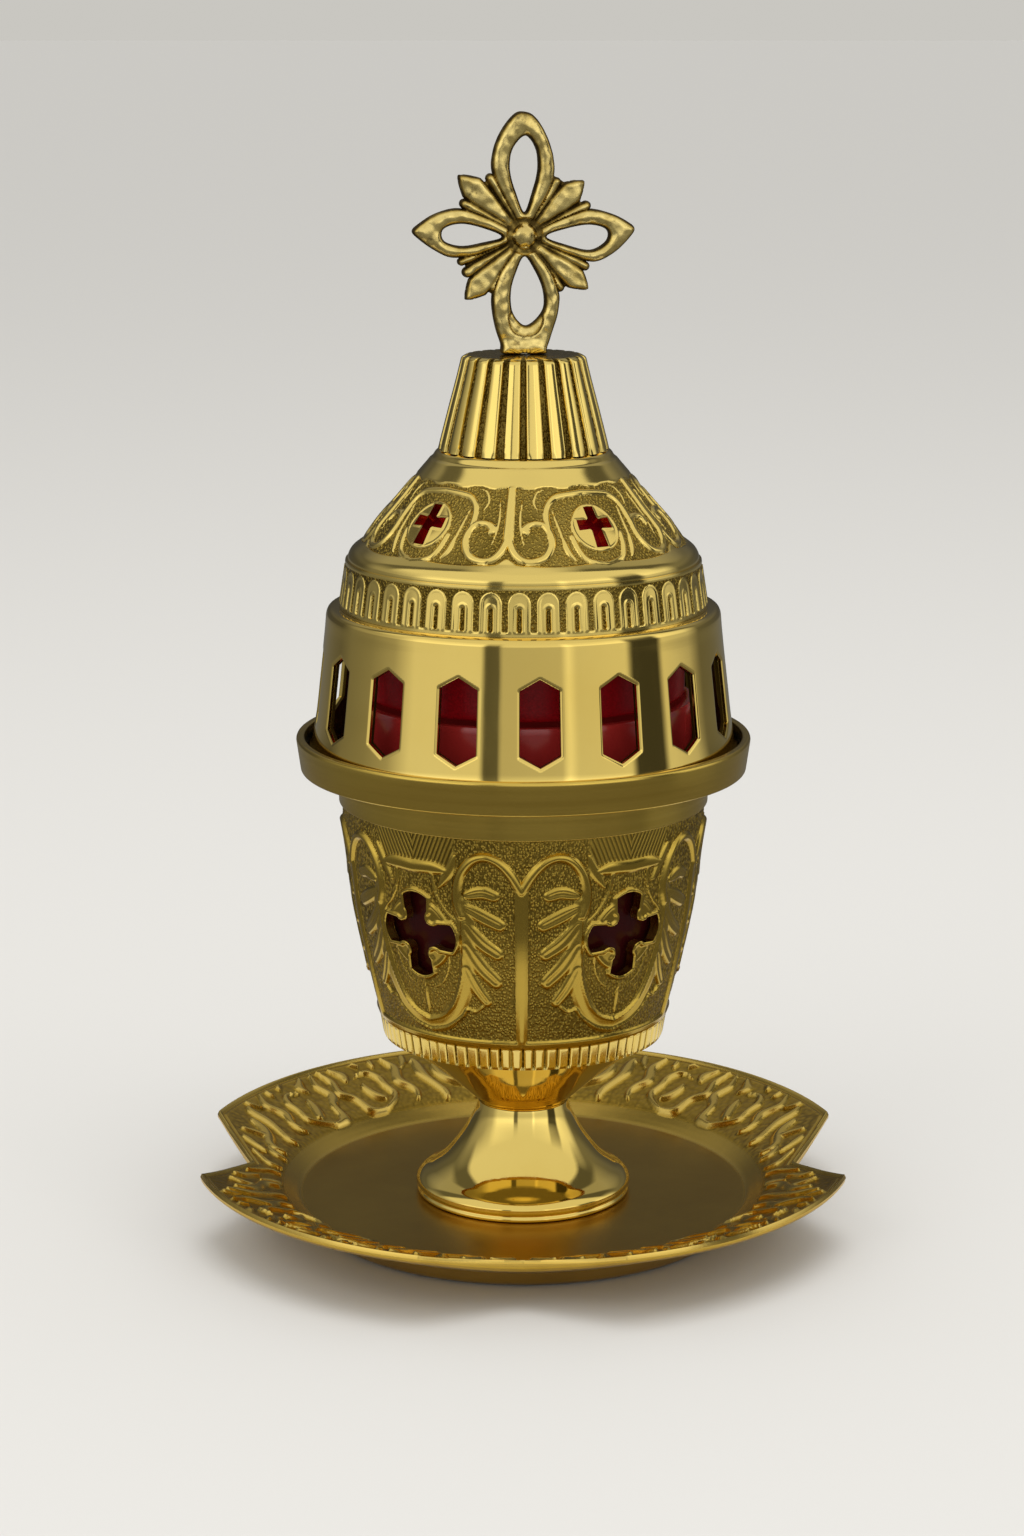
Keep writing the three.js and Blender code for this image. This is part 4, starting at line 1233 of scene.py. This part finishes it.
def finial_surface(x, y):
    """Signed distance to the silhouette (positive inside), half thickness and polish."""
    thin, bar_width, leaf_width = 0.75, 2.1, 1.3
    petal, opening, solid, leaves = finial_distances(x, y)
    centre = np.hypot(x, y)
    bar = np.minimum(-petal, opening)
    half = thin + np.where(bar > 0, 1.3 * rounded(bar / bar_width), 0)
    polish = np.where(bar > 0, smooth_step(bar, 0.15, 0.7), 0)
    for distance, share in leaves:
        on_leaf = (petal > -0.1) & (distance < 0)
        inside = np.clip(-distance / leaf_width, 0, 1)
        crest = thin + 1.0 * rounded(inside) * smooth_step(share, 0.12, 0.35)
        half = np.where(on_leaf, np.maximum(half, crest), half)
        polish = np.where(on_leaf, np.maximum(polish, smooth_step(inside, 0.1, 0.7)), polish)

    ledge = [(0.4, -13.4), (3.6, -15.7), (2.6, -18.7), (0.2, -19.5), (-2.4, -18.5), (-3.1, -15.3)]
    ledge_distance = outline_distance(x, y, spline(ledge, 5, closed=True))
    sunk = 1 - smooth_step(ledge_distance, -0.25, 0.25)
    half = half - thin * sunk * (opening > 0)
    polish = polish * (1 - 0.35 * sunk * (1 - smooth_step(np.abs(ledge_distance), 0.2, 0.7)))
    knob = np.clip(1 - (centre / 2.35) ** 2, 0, 1) ** 0.5
    ring = 1 - smooth_step(np.abs(centre - 3.0), 0.3, 0.8)
    half = np.maximum(half - 0.55 * ring, 0.9 + 1.9 * knob)
    polish = np.where(centre < 2.2, 1.0, polish * (1 - 0.8 * ring))
    lug = smooth_step(-y, 19.8, 22.4) * (np.abs(x) < 4.6)
    half = (half + 0.5 * lug) * (0.62 + 0.38 * rounded(-solid / 0.5))
    return -solid, half, polish


def casting_dents(x, y, waves=8):
    """Slow dents of a hand-finished casting, as a sum of waves of random height."""
    heights = rng.normal(0, 1, (waves, waves))
    dents = np.zeros(x.shape)
    for i in range(waves):
        for j in range(waves):
            dents += heights[i, j] * np.sin(0.35 * (i + 1) * x + 0.9 * j) * np.cos(0.35 * (j + 1) * y + i)
    return 0.012 * dents


def cross_finial():
    """The flat openwork cross, its grid moved onto the silhouette, turned a little about the lamp's axis."""
    across = np.arange(-23, 23 + FINIAL_STEP, FINIAL_STEP)
    up = np.arange(-FINIAL_DROP - FINIAL_STEP, 24.6, FINIAL_STEP)
    x, y = np.meshgrid(across, up, indexing="ij")
    inside, _, _ = finial_surface(x, y)
    near = np.abs(inside) < 0.52 * FINIAL_STEP
    slope_x, slope_y = np.gradient(inside, FINIAL_STEP)
    size = np.maximum(slope_x**2 + slope_y**2, 0.25)
    x = np.where(near, x - inside * slope_x / size, x)
    y = np.where(near, y - inside * slope_y / size, y)
    _, half, _ = finial_surface(x, y)
    half = half + casting_dents(x, y)
    sine, cosine = math.sin(FINIAL_TURN), math.cos(FINIAL_TURN)

    def sheet(depth):
        return np.stack([x * cosine - depth * sine, x * sine + depth * cosine, FINIAL_CENTRE + y], -1)

    keep = np.where(near, 0.0, np.sign(inside))
    points, faces, _, rim = shell(sheet(-half), sheet(half), keep, wrap=False)
    right = points[:, 0] * cosine + points[:, 1] * sine
    # The polish goes into the relief attribute, where the material paints crests lighter, partly as a painted
    # highlight.
    _, _, polish = finial_surface(right, points[:, 2] - FINIAL_CENTRE)
    make_piece("cross_finial", (points, faces, polish[:, None], rim), "lid", ANTIQUE, "finial_cross", 50)


# ---- stand: foot, bowl and rim ring ---------------------------------------------------------------


def lamp_foot():
    outside = [(22.2, 2.1), (22.0, 2.9), (21.0, 3.9), (18.9, 5.2), (16.6, 7.1), (14.5, 9.5), (12.6, 12.1)]
    outside = spline(outside + [(11.1, 14.7), (9.9, 17.2), (9.3, 19.35)], 10)
    inside = [(7.4, 16.0), (8.4, 14.2), (10.4, 11.6), (13.0, 8.8), (16.0, 5.9), (18.9, 3.0), (20.2, 0.5)]
    lip = [(20.4, 0), (21.7, 0), (21.95, 0.2), (22.05, 0.5), (21.95, 0.8), (21.7, 1.0), (21.65, 1.15)]
    lip += [(21.85, 1.35), (22.1, 1.8)]
    outline = [*lip, *outside, (3.2, 19.35), (3.2, 16.0), *spline(inside, 6)]
    turned("flared_foot", outline, FOOT.bottom, "stand", POLISHED, "lamp_foot", 240, 40)


def stem_bowl():
    outside = [(9.1, 0.0), (9.6, 0.75), (11.2, 2.1), (14.8, 5.35), (18.6, 8.6), (22.4, 11.5), (25.2, 13.7)]
    inside = [(24.4, 15.0), (20.2, 11.9), (15.4, 8.0), (11.6, 5.0), (9.2, 3.2)]
    outline = [(3.2, 0.0), *spline(outside + [(26.9, 15.0)], 12), *spline(inside, 6), (3.2, 3.2)]
    turned("funnel_bowl", outline, STEM.bottom, "stand", POLISHED, "stem_bowl", 240, 40)


def rim_ring():
    corners = [
        (36.25, 0.0, 0.1), (37.3, 0.0, 0.25), (37.45, 6.65, 0.35), (44.9, 6.65, 0.45), (45.8, 13.0, 0.6),
        (45.5, 13.55, 0.4), (44.1, 13.55, 0.4), (44.1, 9.75, 0.3), (35.0, 9.75, 0.3), (35.0, 3.1, 0.2),
        (36.25, 3.1, 0.1),
    ]
    turned("rim_collar", filleted(corners, 6), RIM.bottom, "stand", TURNED, "rim_ring", 300, 35)


# ---- drip plate -----------------------------------------------------------------------------------

NOTCH_HALF_ANGLE = 16.7
NOTCH_APEX = 56.5
NOTCH_TIP = math.radians(NOTCH_HALF_ANGLE)
PLATE_EDGE = PLATE.radius / math.cos(NOTCH_TIP)
NOTCH_DEPTH = PLATE_EDGE * math.cos(NOTCH_TIP) - NOTCH_APEX
NOTCH_HALF_WIDTH = PLATE_EDGE * math.sin(NOTCH_TIP)
LOBES = 4
SLOPE_FOOT = 45.6
PLATE_HALF_COLUMNS = 150
BORDER_RADIUS = 60
PLATE_SCALE = math.radians(1) * BORDER_RADIUS


def plate_reach(degrees):
    """The plate's edge radius: an arc between V-shaped notches with straight sides."""
    a = np.radians(degrees)
    side = NOTCH_APEX * NOTCH_HALF_WIDTH / (NOTCH_HALF_WIDTH * np.cos(a) - NOTCH_DEPTH * np.sin(a))
    return np.where(degrees < NOTCH_HALF_ANGLE, np.minimum(side, PLATE_EDGE), PLATE_EDGE)


def reach_distance(r, degrees):
    """Distance from the plate's edge, measured square to the notch's sides or the rim."""
    a = np.radians(degrees)
    away = (NOTCH_APEX - r * np.cos(a)) * NOTCH_HALF_WIDTH + r * np.sin(a) * NOTCH_DEPTH
    side = away / math.hypot(NOTCH_DEPTH, NOTCH_HALF_WIDTH)
    return np.maximum(np.minimum(PLATE_EDGE - r, side), 0)


def plate_shapes(x, r):
    """Embossed leaf scrolls on half a lobe: x along the rim from the notch, r the radius."""
    shapes = []
    sway_r = r + 0.7 * np.sin(0.42 * x + 0.5)
    sway_x = x + 0.8 * np.sin(0.62 * sway_r)

    def stroke(points, half_width, height, *ends):
        line = [(a * PLATE_SCALE * radius / BORDER_RADIUS, radius) for a, radius in points]
        shapes.append(ridge(sway_x, sway_r, line, 1.3 * half_width, 1.5 * height, ends))

    volute = [(43.9, 66.6), (43.1, 61.4), (42.8, 56.2), (42.4, 52.8), (40.4, 51.0), (36.2, 51.2)]
    volute += [(32.4, 53.8), (31.0, 57.2), (31.9, 60.5), (34.8, 62.2), (37.6, 61.4)]
    stroke(volute, 0.85, 0.85, 0.5, 0.5)
    stroke([(36.8, 58.4), (36.4, 56.4), (34.9, 54.2)], 1.25, 0.8, 0.35, 0.5)
    stroke([(28.8, 67.2), (27.6, 59.0), (27.0, 51.2)], 1.0, 0.85, 0.3, 0.4)
    buds = [
        [(24.4, 66.6), (25.6, 64.4), (26.6, 62.2)], [(31.6, 66.8), (32.0, 65.2), (32.5, 63.8)],
        [(36.3, 67.4), (36.0, 65.6), (35.8, 64.0)], [(40.6, 66.8), (40.2, 63.8), (39.8, 60.6)],
    ]
    for bud in buds:
        stroke(bud, 0.8, 0.7, 0.4, 0.2)
    stroke([(24.1, 63.6), (20.9, 57.0), (19.2, 51.6)], 1.15, 0.85, 0.5, 0.4)
    stroke([(19.8, 61.6), (14.6, 55.6), (11.4, 50.4)], 1.1, 0.8, 0.5, 0.4)
    stroke([(14.9, 62.0), (14.6, 58.4), (15.4, 55.8)], 1.0, 0.7, 0.4, 0.3)
    stroke([(10.6, 59.8), (9.4, 56.6), (9.0, 54.2)], 1.0, 0.75, 0.4, 0.3)
    stroke([(11.6, 54.0), (9.6, 51.8), (7.8, 49.9)], 0.9, 0.7, 0.4, 0.3)
    stroke([(5.6, 57.2), (3.4, 54.0), (2.2, 51.0)], 0.8, 0.7, 0.3, 0.3)
    return np.maximum.reduce(shapes)


def plate_grid():
    """The grid over half a lobe and its radii: rings in the well, then rows that come to follow the edge."""
    well = np.array([0.0, 6, 12, 18, 24, 29, 33, 36, 39, 41.5, 43.5, 45.0])
    slope_top, border_rows = 49.0, 62
    fixed = np.concatenate([well, np.linspace(SLOPE_FOOT, slope_top, 20)[:-1]])
    share = np.linspace(0, 1, border_rows)
    panel = TurnedRelief(LOBES, PLATE_HALF_COLUMNS, np.arange(len(fixed) + border_rows), BORDER_RADIUS, 0.0)
    degrees = panel.x / PLATE_SCALE
    r = np.empty(degrees.shape)
    r[:, : len(fixed)] = fixed
    r[:, len(fixed) :] = slope_top + share * (plate_reach(degrees)[:, -1:] - slope_top)
    return panel, r


def plate_height(r):
    """Height of the upper side without its relief."""
    upper = [(44.8, 4.6), (46.4, 4.75), (48.0, 5.7), (51.0, 7.7), (55, 9.3), (59, 10.8), (63.5, 12.4)]
    return np.interp(r, *spline(upper + [(67.4, 13.9), (68.4, 14.2)], 8).T)


def plate_underside(r, edge):
    under = [(0, 0.0), (43.6, 0.0), (44.6, 0.35), (45.4, 1.5), (48.0, 4.2), (57.0, 8.0), (67.2, 12.4)]
    height = np.interp(r, *np.array(under + [(68.4, 12.7)]).T)
    return height + 0.5 * (1 - smooth_step(edge, 0.0, 0.7)) ** 2


def drip_plate():
    panel, r = plate_grid()
    edge = reach_distance(r, panel.x / PLATE_SCALE)
    lip = 0.34 * (1 - smooth_step(np.abs(edge - 0.45), 0.15, 0.5))
    groove = 0.16 * (1 - smooth_step(np.abs(edge - 1.15), 0.1, 0.4))
    inner_lip = 0.08 * (1 - smooth_step(np.abs(edge - 1.7), 0.15, 0.45)) * smooth_step(r, 51.5, 53)
    roll = 0.5 * (1 - smooth_step(edge, 0.0, 0.45)) ** 2
    zone = smooth_step(r, 49.4, 50.4) * smooth_step(edge, 1.6, 2.3)
    shapes = plate_shapes(panel.x * r / BORDER_RADIUS, r) * zone
    relief = 0.8 * shapes + lip - groove + inner_lip - roll

    angle = panel.angles()
    radius = panel.around(r)
    ground = panel.around(zone) * (1 - smooth_step(panel.around(shapes), 0.05, 0.3))
    grain_size, grains_round = 1.1, 330
    grains = pebbles(angle / 360, np.maximum(radius - 50, 0) / grain_size, grains_round)
    outer = placed(angle, radius, panel.around(plate_height(r) + relief) + 0.14 * grains * ground)
    inner = placed(angle, radius, panel.around(plate_underside(r, edge)))

    # Painted reflection: the slope up from the well gets a higher tint than the well, so it is painted
    # lighter. Raised shapes and the edge lip are lighter too, the groove and the gaps between grains darker.
    bright = 0.25 + smooth_step(r, SLOPE_FOOT, 46.4) * (0.45 - 0.28 * zone)
    bright = bright + 0.45 * smooth_step(shapes, 0.2, 0.6) + 0.4 * smooth_step(lip, 0.15, 0.3)
    tint = panel.around(np.clip(bright, 0, 1)) - 0.3 * ground * (1 - grains)
    tint = np.clip(tint - 0.3 * panel.around(smooth_step(groove, 0.08, 0.2)), 0, 1)
    points, faces, tint, rim = shell(outer, inner, tint=tint, stride=(5, 1), pole=True)
    facing_up = [f[:, ::-1] for f in faces]
    make_piece("notched_plate", (points, facing_up, tint, rim), "plate", PLATE_BRASS, "drip_plate", 55)


# ---- oil glass, float and liner -------------------------------------------------------------------

CORE_RADIUS = 0.02  # of the axial hole that closes a solid rod or wick as a shell


def oil_glass():
    outside = [(26.4, 0.0), (27.8, 1.2), (28.6, 4.0), (30.2, 10.5), (31.6, 17.5), (32.8, 28.0), (33.5, 42.0)]
    outside = spline(outside + [(34.0, 54.0), (34.2, 60.2)], 8)
    rim = [(33.95, 60.75), (33.1, 60.95), (32.25, 60.75), (32.0, 60.2)]
    inside = [(31.8, 54.0), (31.3, 42.0), (30.6, 28.0), (29.4, 17.5), (27.9, 10.5), (26.3, 6.4), (24.4, 3.6)]
    inside = spline(inside + [(21.0, 3.0)], 8)
    outline = [(0, 0.3), (22, 0.3), (23, 0.0), *outside, *rim, *inside, (0, 3.0)]
    turned("ruby_oil_glass", outline, GLASS.bottom, "glass", OIL_RUBY, "oil_glass", 200, 45)


def liner_glass():
    outside = [(32.4, 0.6), (32.3, 12.0), (32.0, 22.5), (31.2, 26.0), (28.6, 29.8), (24.2, 34.6)]
    outside = spline(outside + [(19.6, 39.4), (15.8, 43.0), (13.2, 44.4)], 8)
    inside = [(12.6, 42.6), (14.8, 41.2), (18.6, 37.4), (23.2, 32.6), (27.4, 28.0), (29.4, 25.0)]
    inside = spline(inside + [(30.2, 22.0), (30.5, 12.0), (30.6, 0.6)], 8)
    outline = [(30.9, 0.15), (31.5, 0.0), (32.1, 0.15), *outside, (2.5, 44.4), (2.5, 42.6), *inside]
    turned("ruby_liner", outline, LINER.bottom, "lid", LINER_RUBY, "liner_glass", 200, 45)


def wick_float():
    """The burner: a cork ring, a brass disc on it, a flanged tube that hangs in the disc, and the wick."""
    cork = [(2.6, 0.2, 0.1), (16.4, 0.0, 0.5), (17.0, 0.6, 0.5), (17.0, 4.3, 0.8), (16.2, 5.0, 0.5)]
    cork += [(2.6, 5.0, 0.2)]
    turned("cork_ring", filleted(cork), CORK.bottom, "float", CORK_GRAIN, "float_cork", 96, 45)
    bottom, top = FLOAT_DISC.bottom, FLOAT_DISC.top
    disc = [(2.3, bottom), (12.6, bottom), (12.95, bottom + 0.15), (12.95, top - 0.1), (12.7, top)]
    disc += [(6.2, top), (5.9, top + 0.12), (5.2, top + 0.12), (4.9, top), (2.3, top)]
    turned("float_disc", disc, 0, "float", POLISHED, "float_plate", 96, 40)
    tube_top = WICK_TUBE.top - WICK_TUBE.bottom
    flange_foot, flange_top = top - WICK_TUBE.bottom + 0.05, top - WICK_TUBE.bottom + 0.6
    tube = [(1.35, 0, 0.1), (2.2, 0, 0.1), (2.2, flange_foot, 0.1), (3.6, flange_foot, 0.15)]
    tube += [(3.6, flange_top, 0.15), (2.2, flange_top, 0.2), (1.9, tube_top, 0.15), (1.35, tube_top, 0.1)]
    turned("wick_holder", filleted(tube), WICK_TUBE.bottom, "float", POLISHED, "wick_tube", 64, 40)
    braided_wick()


def braided_wick():
    angle, height = around_axis(36, np.linspace(WICK.bottom, WICK.top, 60))
    strands, lay = np.radians(angle) * 1.5, height * 1.6
    braid = np.maximum(np.abs(np.sin(strands + lay)), np.abs(np.sin(strands - lay)))
    taper = np.minimum(1, (WICK.top - height) / 0.8 + 0.35)
    solid = shell(placed(angle, (0.95 + 0.22 * braid) * taper, height), placed(angle, CORE_RADIUS, height))
    make_piece("braided_wick", solid[:2], "float", COTTON, "wick")


# ---- hidden fastenings ----------------------------------------------------------------------------


def threaded_rod(name, node, body, pitch):
    """A rod with a helical thread and chamfered ends."""
    rod = Extent(node)
    turns = (rod.top - rod.bottom) / pitch
    angle, height = around_axis(48, np.linspace(rod.bottom, rod.top, int(turns * 8)))
    phase = (height / pitch - angle / 360) % 1
    thread = 0.18 * pitch * (1 - 2 * np.abs(phase - 0.5)) * 2
    end = np.minimum(height - rod.bottom, rod.top - height)
    chamfer = np.maximum(0.8 - end, 0)
    solid = shell(placed(angle, rod.radius - thread - chamfer, height), placed(angle, CORE_RADIUS, height))
    make_piece(name, solid[:2], body, STEEL, node)


def chamfered_nut(name, node, hole, body):
    """A hexagon nut whose corners are turned down to a cone at both ends."""
    nut = Extent(node)
    flats = min(nut.wide, nut.deep)
    corner = flats / math.sqrt(3)
    share = np.array([0.0, 0.05, 0.2, 0.8, 0.95, 1.0])
    cone = corner * np.array([0.9, 0.94, 1, 1, 0.94, 0.9])
    bore = hole + np.array([0.5, 0.25, 0, 0, 0.25, 0.5])
    angle, height = around_axis(96, nut.bottom + share * (nut.top - nut.bottom))
    first_corner = 30 if nut.wide < nut.deep else 0
    off_flat = (angle - 90 - first_corner + 30) % 60 - 30
    radius = np.minimum(flats / 2 / np.cos(np.radians(np.abs(off_flat))), cone)
    solid = shell(placed(angle, radius, height), placed(angle, bore, height))
    make_piece(name, solid[:2], body, STEEL, node, 30)


def plain_ring(name, node, hole, body, finish, fillet):
    ring = Extent(node)
    radius = ring.wide / 2
    corners = [(hole, ring.bottom, fillet), (radius, ring.bottom, fillet)]
    corners += [(radius, ring.top, fillet), (hole, ring.top, fillet)]
    turned(name, filleted(corners), 0, body, finish, node, 72, 40)


def fastenings():
    """The tie rod and the stud, each with its nuts and washers, and the liner's two gaskets."""
    threaded_rod("threaded_tie_rod", "tie_rod", "stand", pitch=1.0)
    threaded_rod("threaded_stud", "finial_stud", "lid", pitch=0.7)
    for place, bore, hole, body in (
        ("foot", 3.05, 3.2, "stand"),
        ("cup", 3.05, 3.2, "stand"),
        ("finial", 2.05, 2.2, "lid"),
    ):
        chamfered_nut(place + "_hex_nut", place + "_nut", bore, body)
        plain_ring(place + "_plain_washer", place + "_washer", hole, body, STEEL, 0.15)
    for place in ("upper", "lower"):
        plain_ring(place + "_fibre_gasket", place + "_gasket", 2.2, "lid", FIBRE, 0.1)


# The order fixes the random grains, which all come from one generator.
for build in (
    pierced_cup, lamp_foot, stem_bowl, rim_ring, drip_plate, oil_glass, wick_float,
    arcade_band, dome_roof, lid_gallery, fluted_cap, cross_finial, liner_glass, fastenings,
):
    build()


# ---- stage ----------------------------------------------------------------------------------------


def stage():
    """A plain pale floor, and the smaller one that the brass mirrors, as dark as a table past the plate."""
    s = Shader("pale_floor")
    pale = colour(0.62, 0.61, 0.59)
    radius, _ = s.radius()
    mirrored_tone = s.mix(s.between(radius, 0.110, 0.128), pale, colour(0.12, 0.115, 0.105))
    mirror_ray = s.add("LightPath").outputs["Is Glossy Ray"]
    tone = s.mix(mirror_ray, pale, mirrored_tone)
    floor_material = s.done(tone, 0.8, Specular_IOR_Level=0.0)
    for name, size, drop, mirrored in (("floor", 60, 0.0003, False), ("mirrored_floor", 0.5, 0, True)):
        bpy.ops.mesh.primitive_plane_add(size=size, location=(0, 0, -drop))
        plane = bpy.context.object
        plane.name = name
        plane.visible_glossy = mirrored
        plane.visible_camera = plane.visible_diffuse = plane.visible_shadow = not mirrored
        plane.data.materials.append(floor_material)


def softbox(name, place, size, power):
    """A rectangular light that faces the lamp's middle and isn't mirrored in the brass."""
    light = bpy.data.lights.new(name, "AREA")
    light.shape = "RECTANGLE"
    light.size, light.size_y = size
    light.energy = power
    holder = bpy.data.objects.new(name, light)
    holder.location = place
    direction = Vector((0, 0, 0.1)) - Vector(place)
    holder.rotation_euler = direction.to_track_quat("-Z", "Y").to_euler()
    holder.visible_glossy = False
    bpy.context.scene.collection.objects.link(holder)


# Degrees round from the front, towards +X, and the screens' brightness there.
LOW_SCREENS = [
    (-180, 0.06), (-128, 0.09), (-116, 0.22), (-96, 0.28), (-78, 0.42), (-64, 0.84), (-24, 0.88),
    (-21, 0.12), (-14, 0.14), (-12, 0.60), (21, 0.64), (25, 1.1), (30, 0.78), (60, 0.86), (64, 0.06),
    (82, 0.06), (86, 0.8), (108, 0.6), (120, 0.14), (180, 0.06),
]
HIGH_SCREENS = [
    (-180, 0.4), (-130, 0.4), (-124, 0.14), (-107, 0.14), (-100, 0.9), (100, 0.9), (107, 0.12), (126, 0.12),
    (132, 0.4), (180, 0.4),
]


def screen_ramp(s, share, screens):
    """The screens' brightness by direction, where share is the share of a full turn."""
    ramp = s.add("ValToRGB", Fac=share)
    stops = ramp.color_ramp.elements
    while len(stops) < len(screens):
        stops.new(0.5)
    for stop, (degrees, _) in zip(stops, screens):
        stop.position = degrees / 360 + 0.5
    # A ramp sorts its stops as they move, so the colours are set once all are in place.
    for stop, (_, level) in zip(stops, screens):
        stop.color = (level, level, level * 0.97, 1)
    return ramp.outputs["Color"]


def studio_walls():
    """The surroundings by direction, as the brass mirrors them.

    Screens stand round the lamp with dark gaps between them, under a pale ceiling and over a dark table.
    The camera and the matt surfaces get plain, even, pale light instead.
    """
    world = bpy.data.worlds.new("studio")
    bpy.context.scene.world = world
    world.use_nodes = True
    s = Nodes(world.node_tree)
    x, y, z = s.add("SeparateXYZ", Vector=s.add("TexCoord").outputs["Generated"]).outputs
    turn = s.math("ARCTAN2", x, s.math("MULTIPLY", y, -1.0))
    share = s.between(turn, -math.pi, math.pi)
    low = screen_ramp(s, share, LOW_SCREENS)
    lift = s.between(z, 0.12, 0.25, 1.0, 1.6)
    screens = s.add("VectorMath", {"operation": "SCALE"}, Vector=low, Scale=lift).outputs["Vector"]
    walls = s.mix(s.between(z, 0.35, 0.6), screens, screen_ramp(s, share, HIGH_SCREENS))
    walls = s.mix(s.between(z, 0.93, 0.985), walls, colour(0.84, 0.84, 0.82))
    table = s.mix(0.85, low, colour(0.20, 0.20, 0.19))
    mirrored = s.mix(s.between(z, -0.14, -0.05), table, walls)
    ray = s.add("LightPath").outputs
    even = s.mix(ray["Is Diffuse Ray"], mirrored, colour(1.2, 1.19, 1.16))
    seen = s.mix(ray["Is Camera Ray"], even, colour(0.686, 0.670, 0.626))
    s.add("OutputWorld", Surface=s.add("Background", Color=seen, Strength=0.85).outputs["Background"])


def studio():
    studio_walls()
    softbox("key_softbox", (-0.85, -0.8, 0.95), (0.9, 0.6), 2.2)
    softbox("fill_softbox", (0.9, -0.55, 0.8), (0.4, 0.5), 0.7)
    softbox("overhead_softbox", (0.1, -0.2, 1.3), (0.9, 0.9), 6)
    settings = bpy.context.scene.view_settings
    settings.view_transform = "Standard"
    settings.look = "None"


def camera():
    lens = bpy.data.cameras.new("camera")
    lens.lens, lens.sensor_width = 77.9, 36
    looks_down, rolled = 12.8, 0.2
    holder = bpy.data.objects.new("camera", lens)
    holder.location = (0, -0.656, 0.243)
    holder.rotation_euler = (math.radians(90 - looks_down), 0, math.radians(rolled))
    bpy.context.scene.collection.objects.link(holder)
    bpy.context.scene.camera = holder


stage()
studio()
camera()
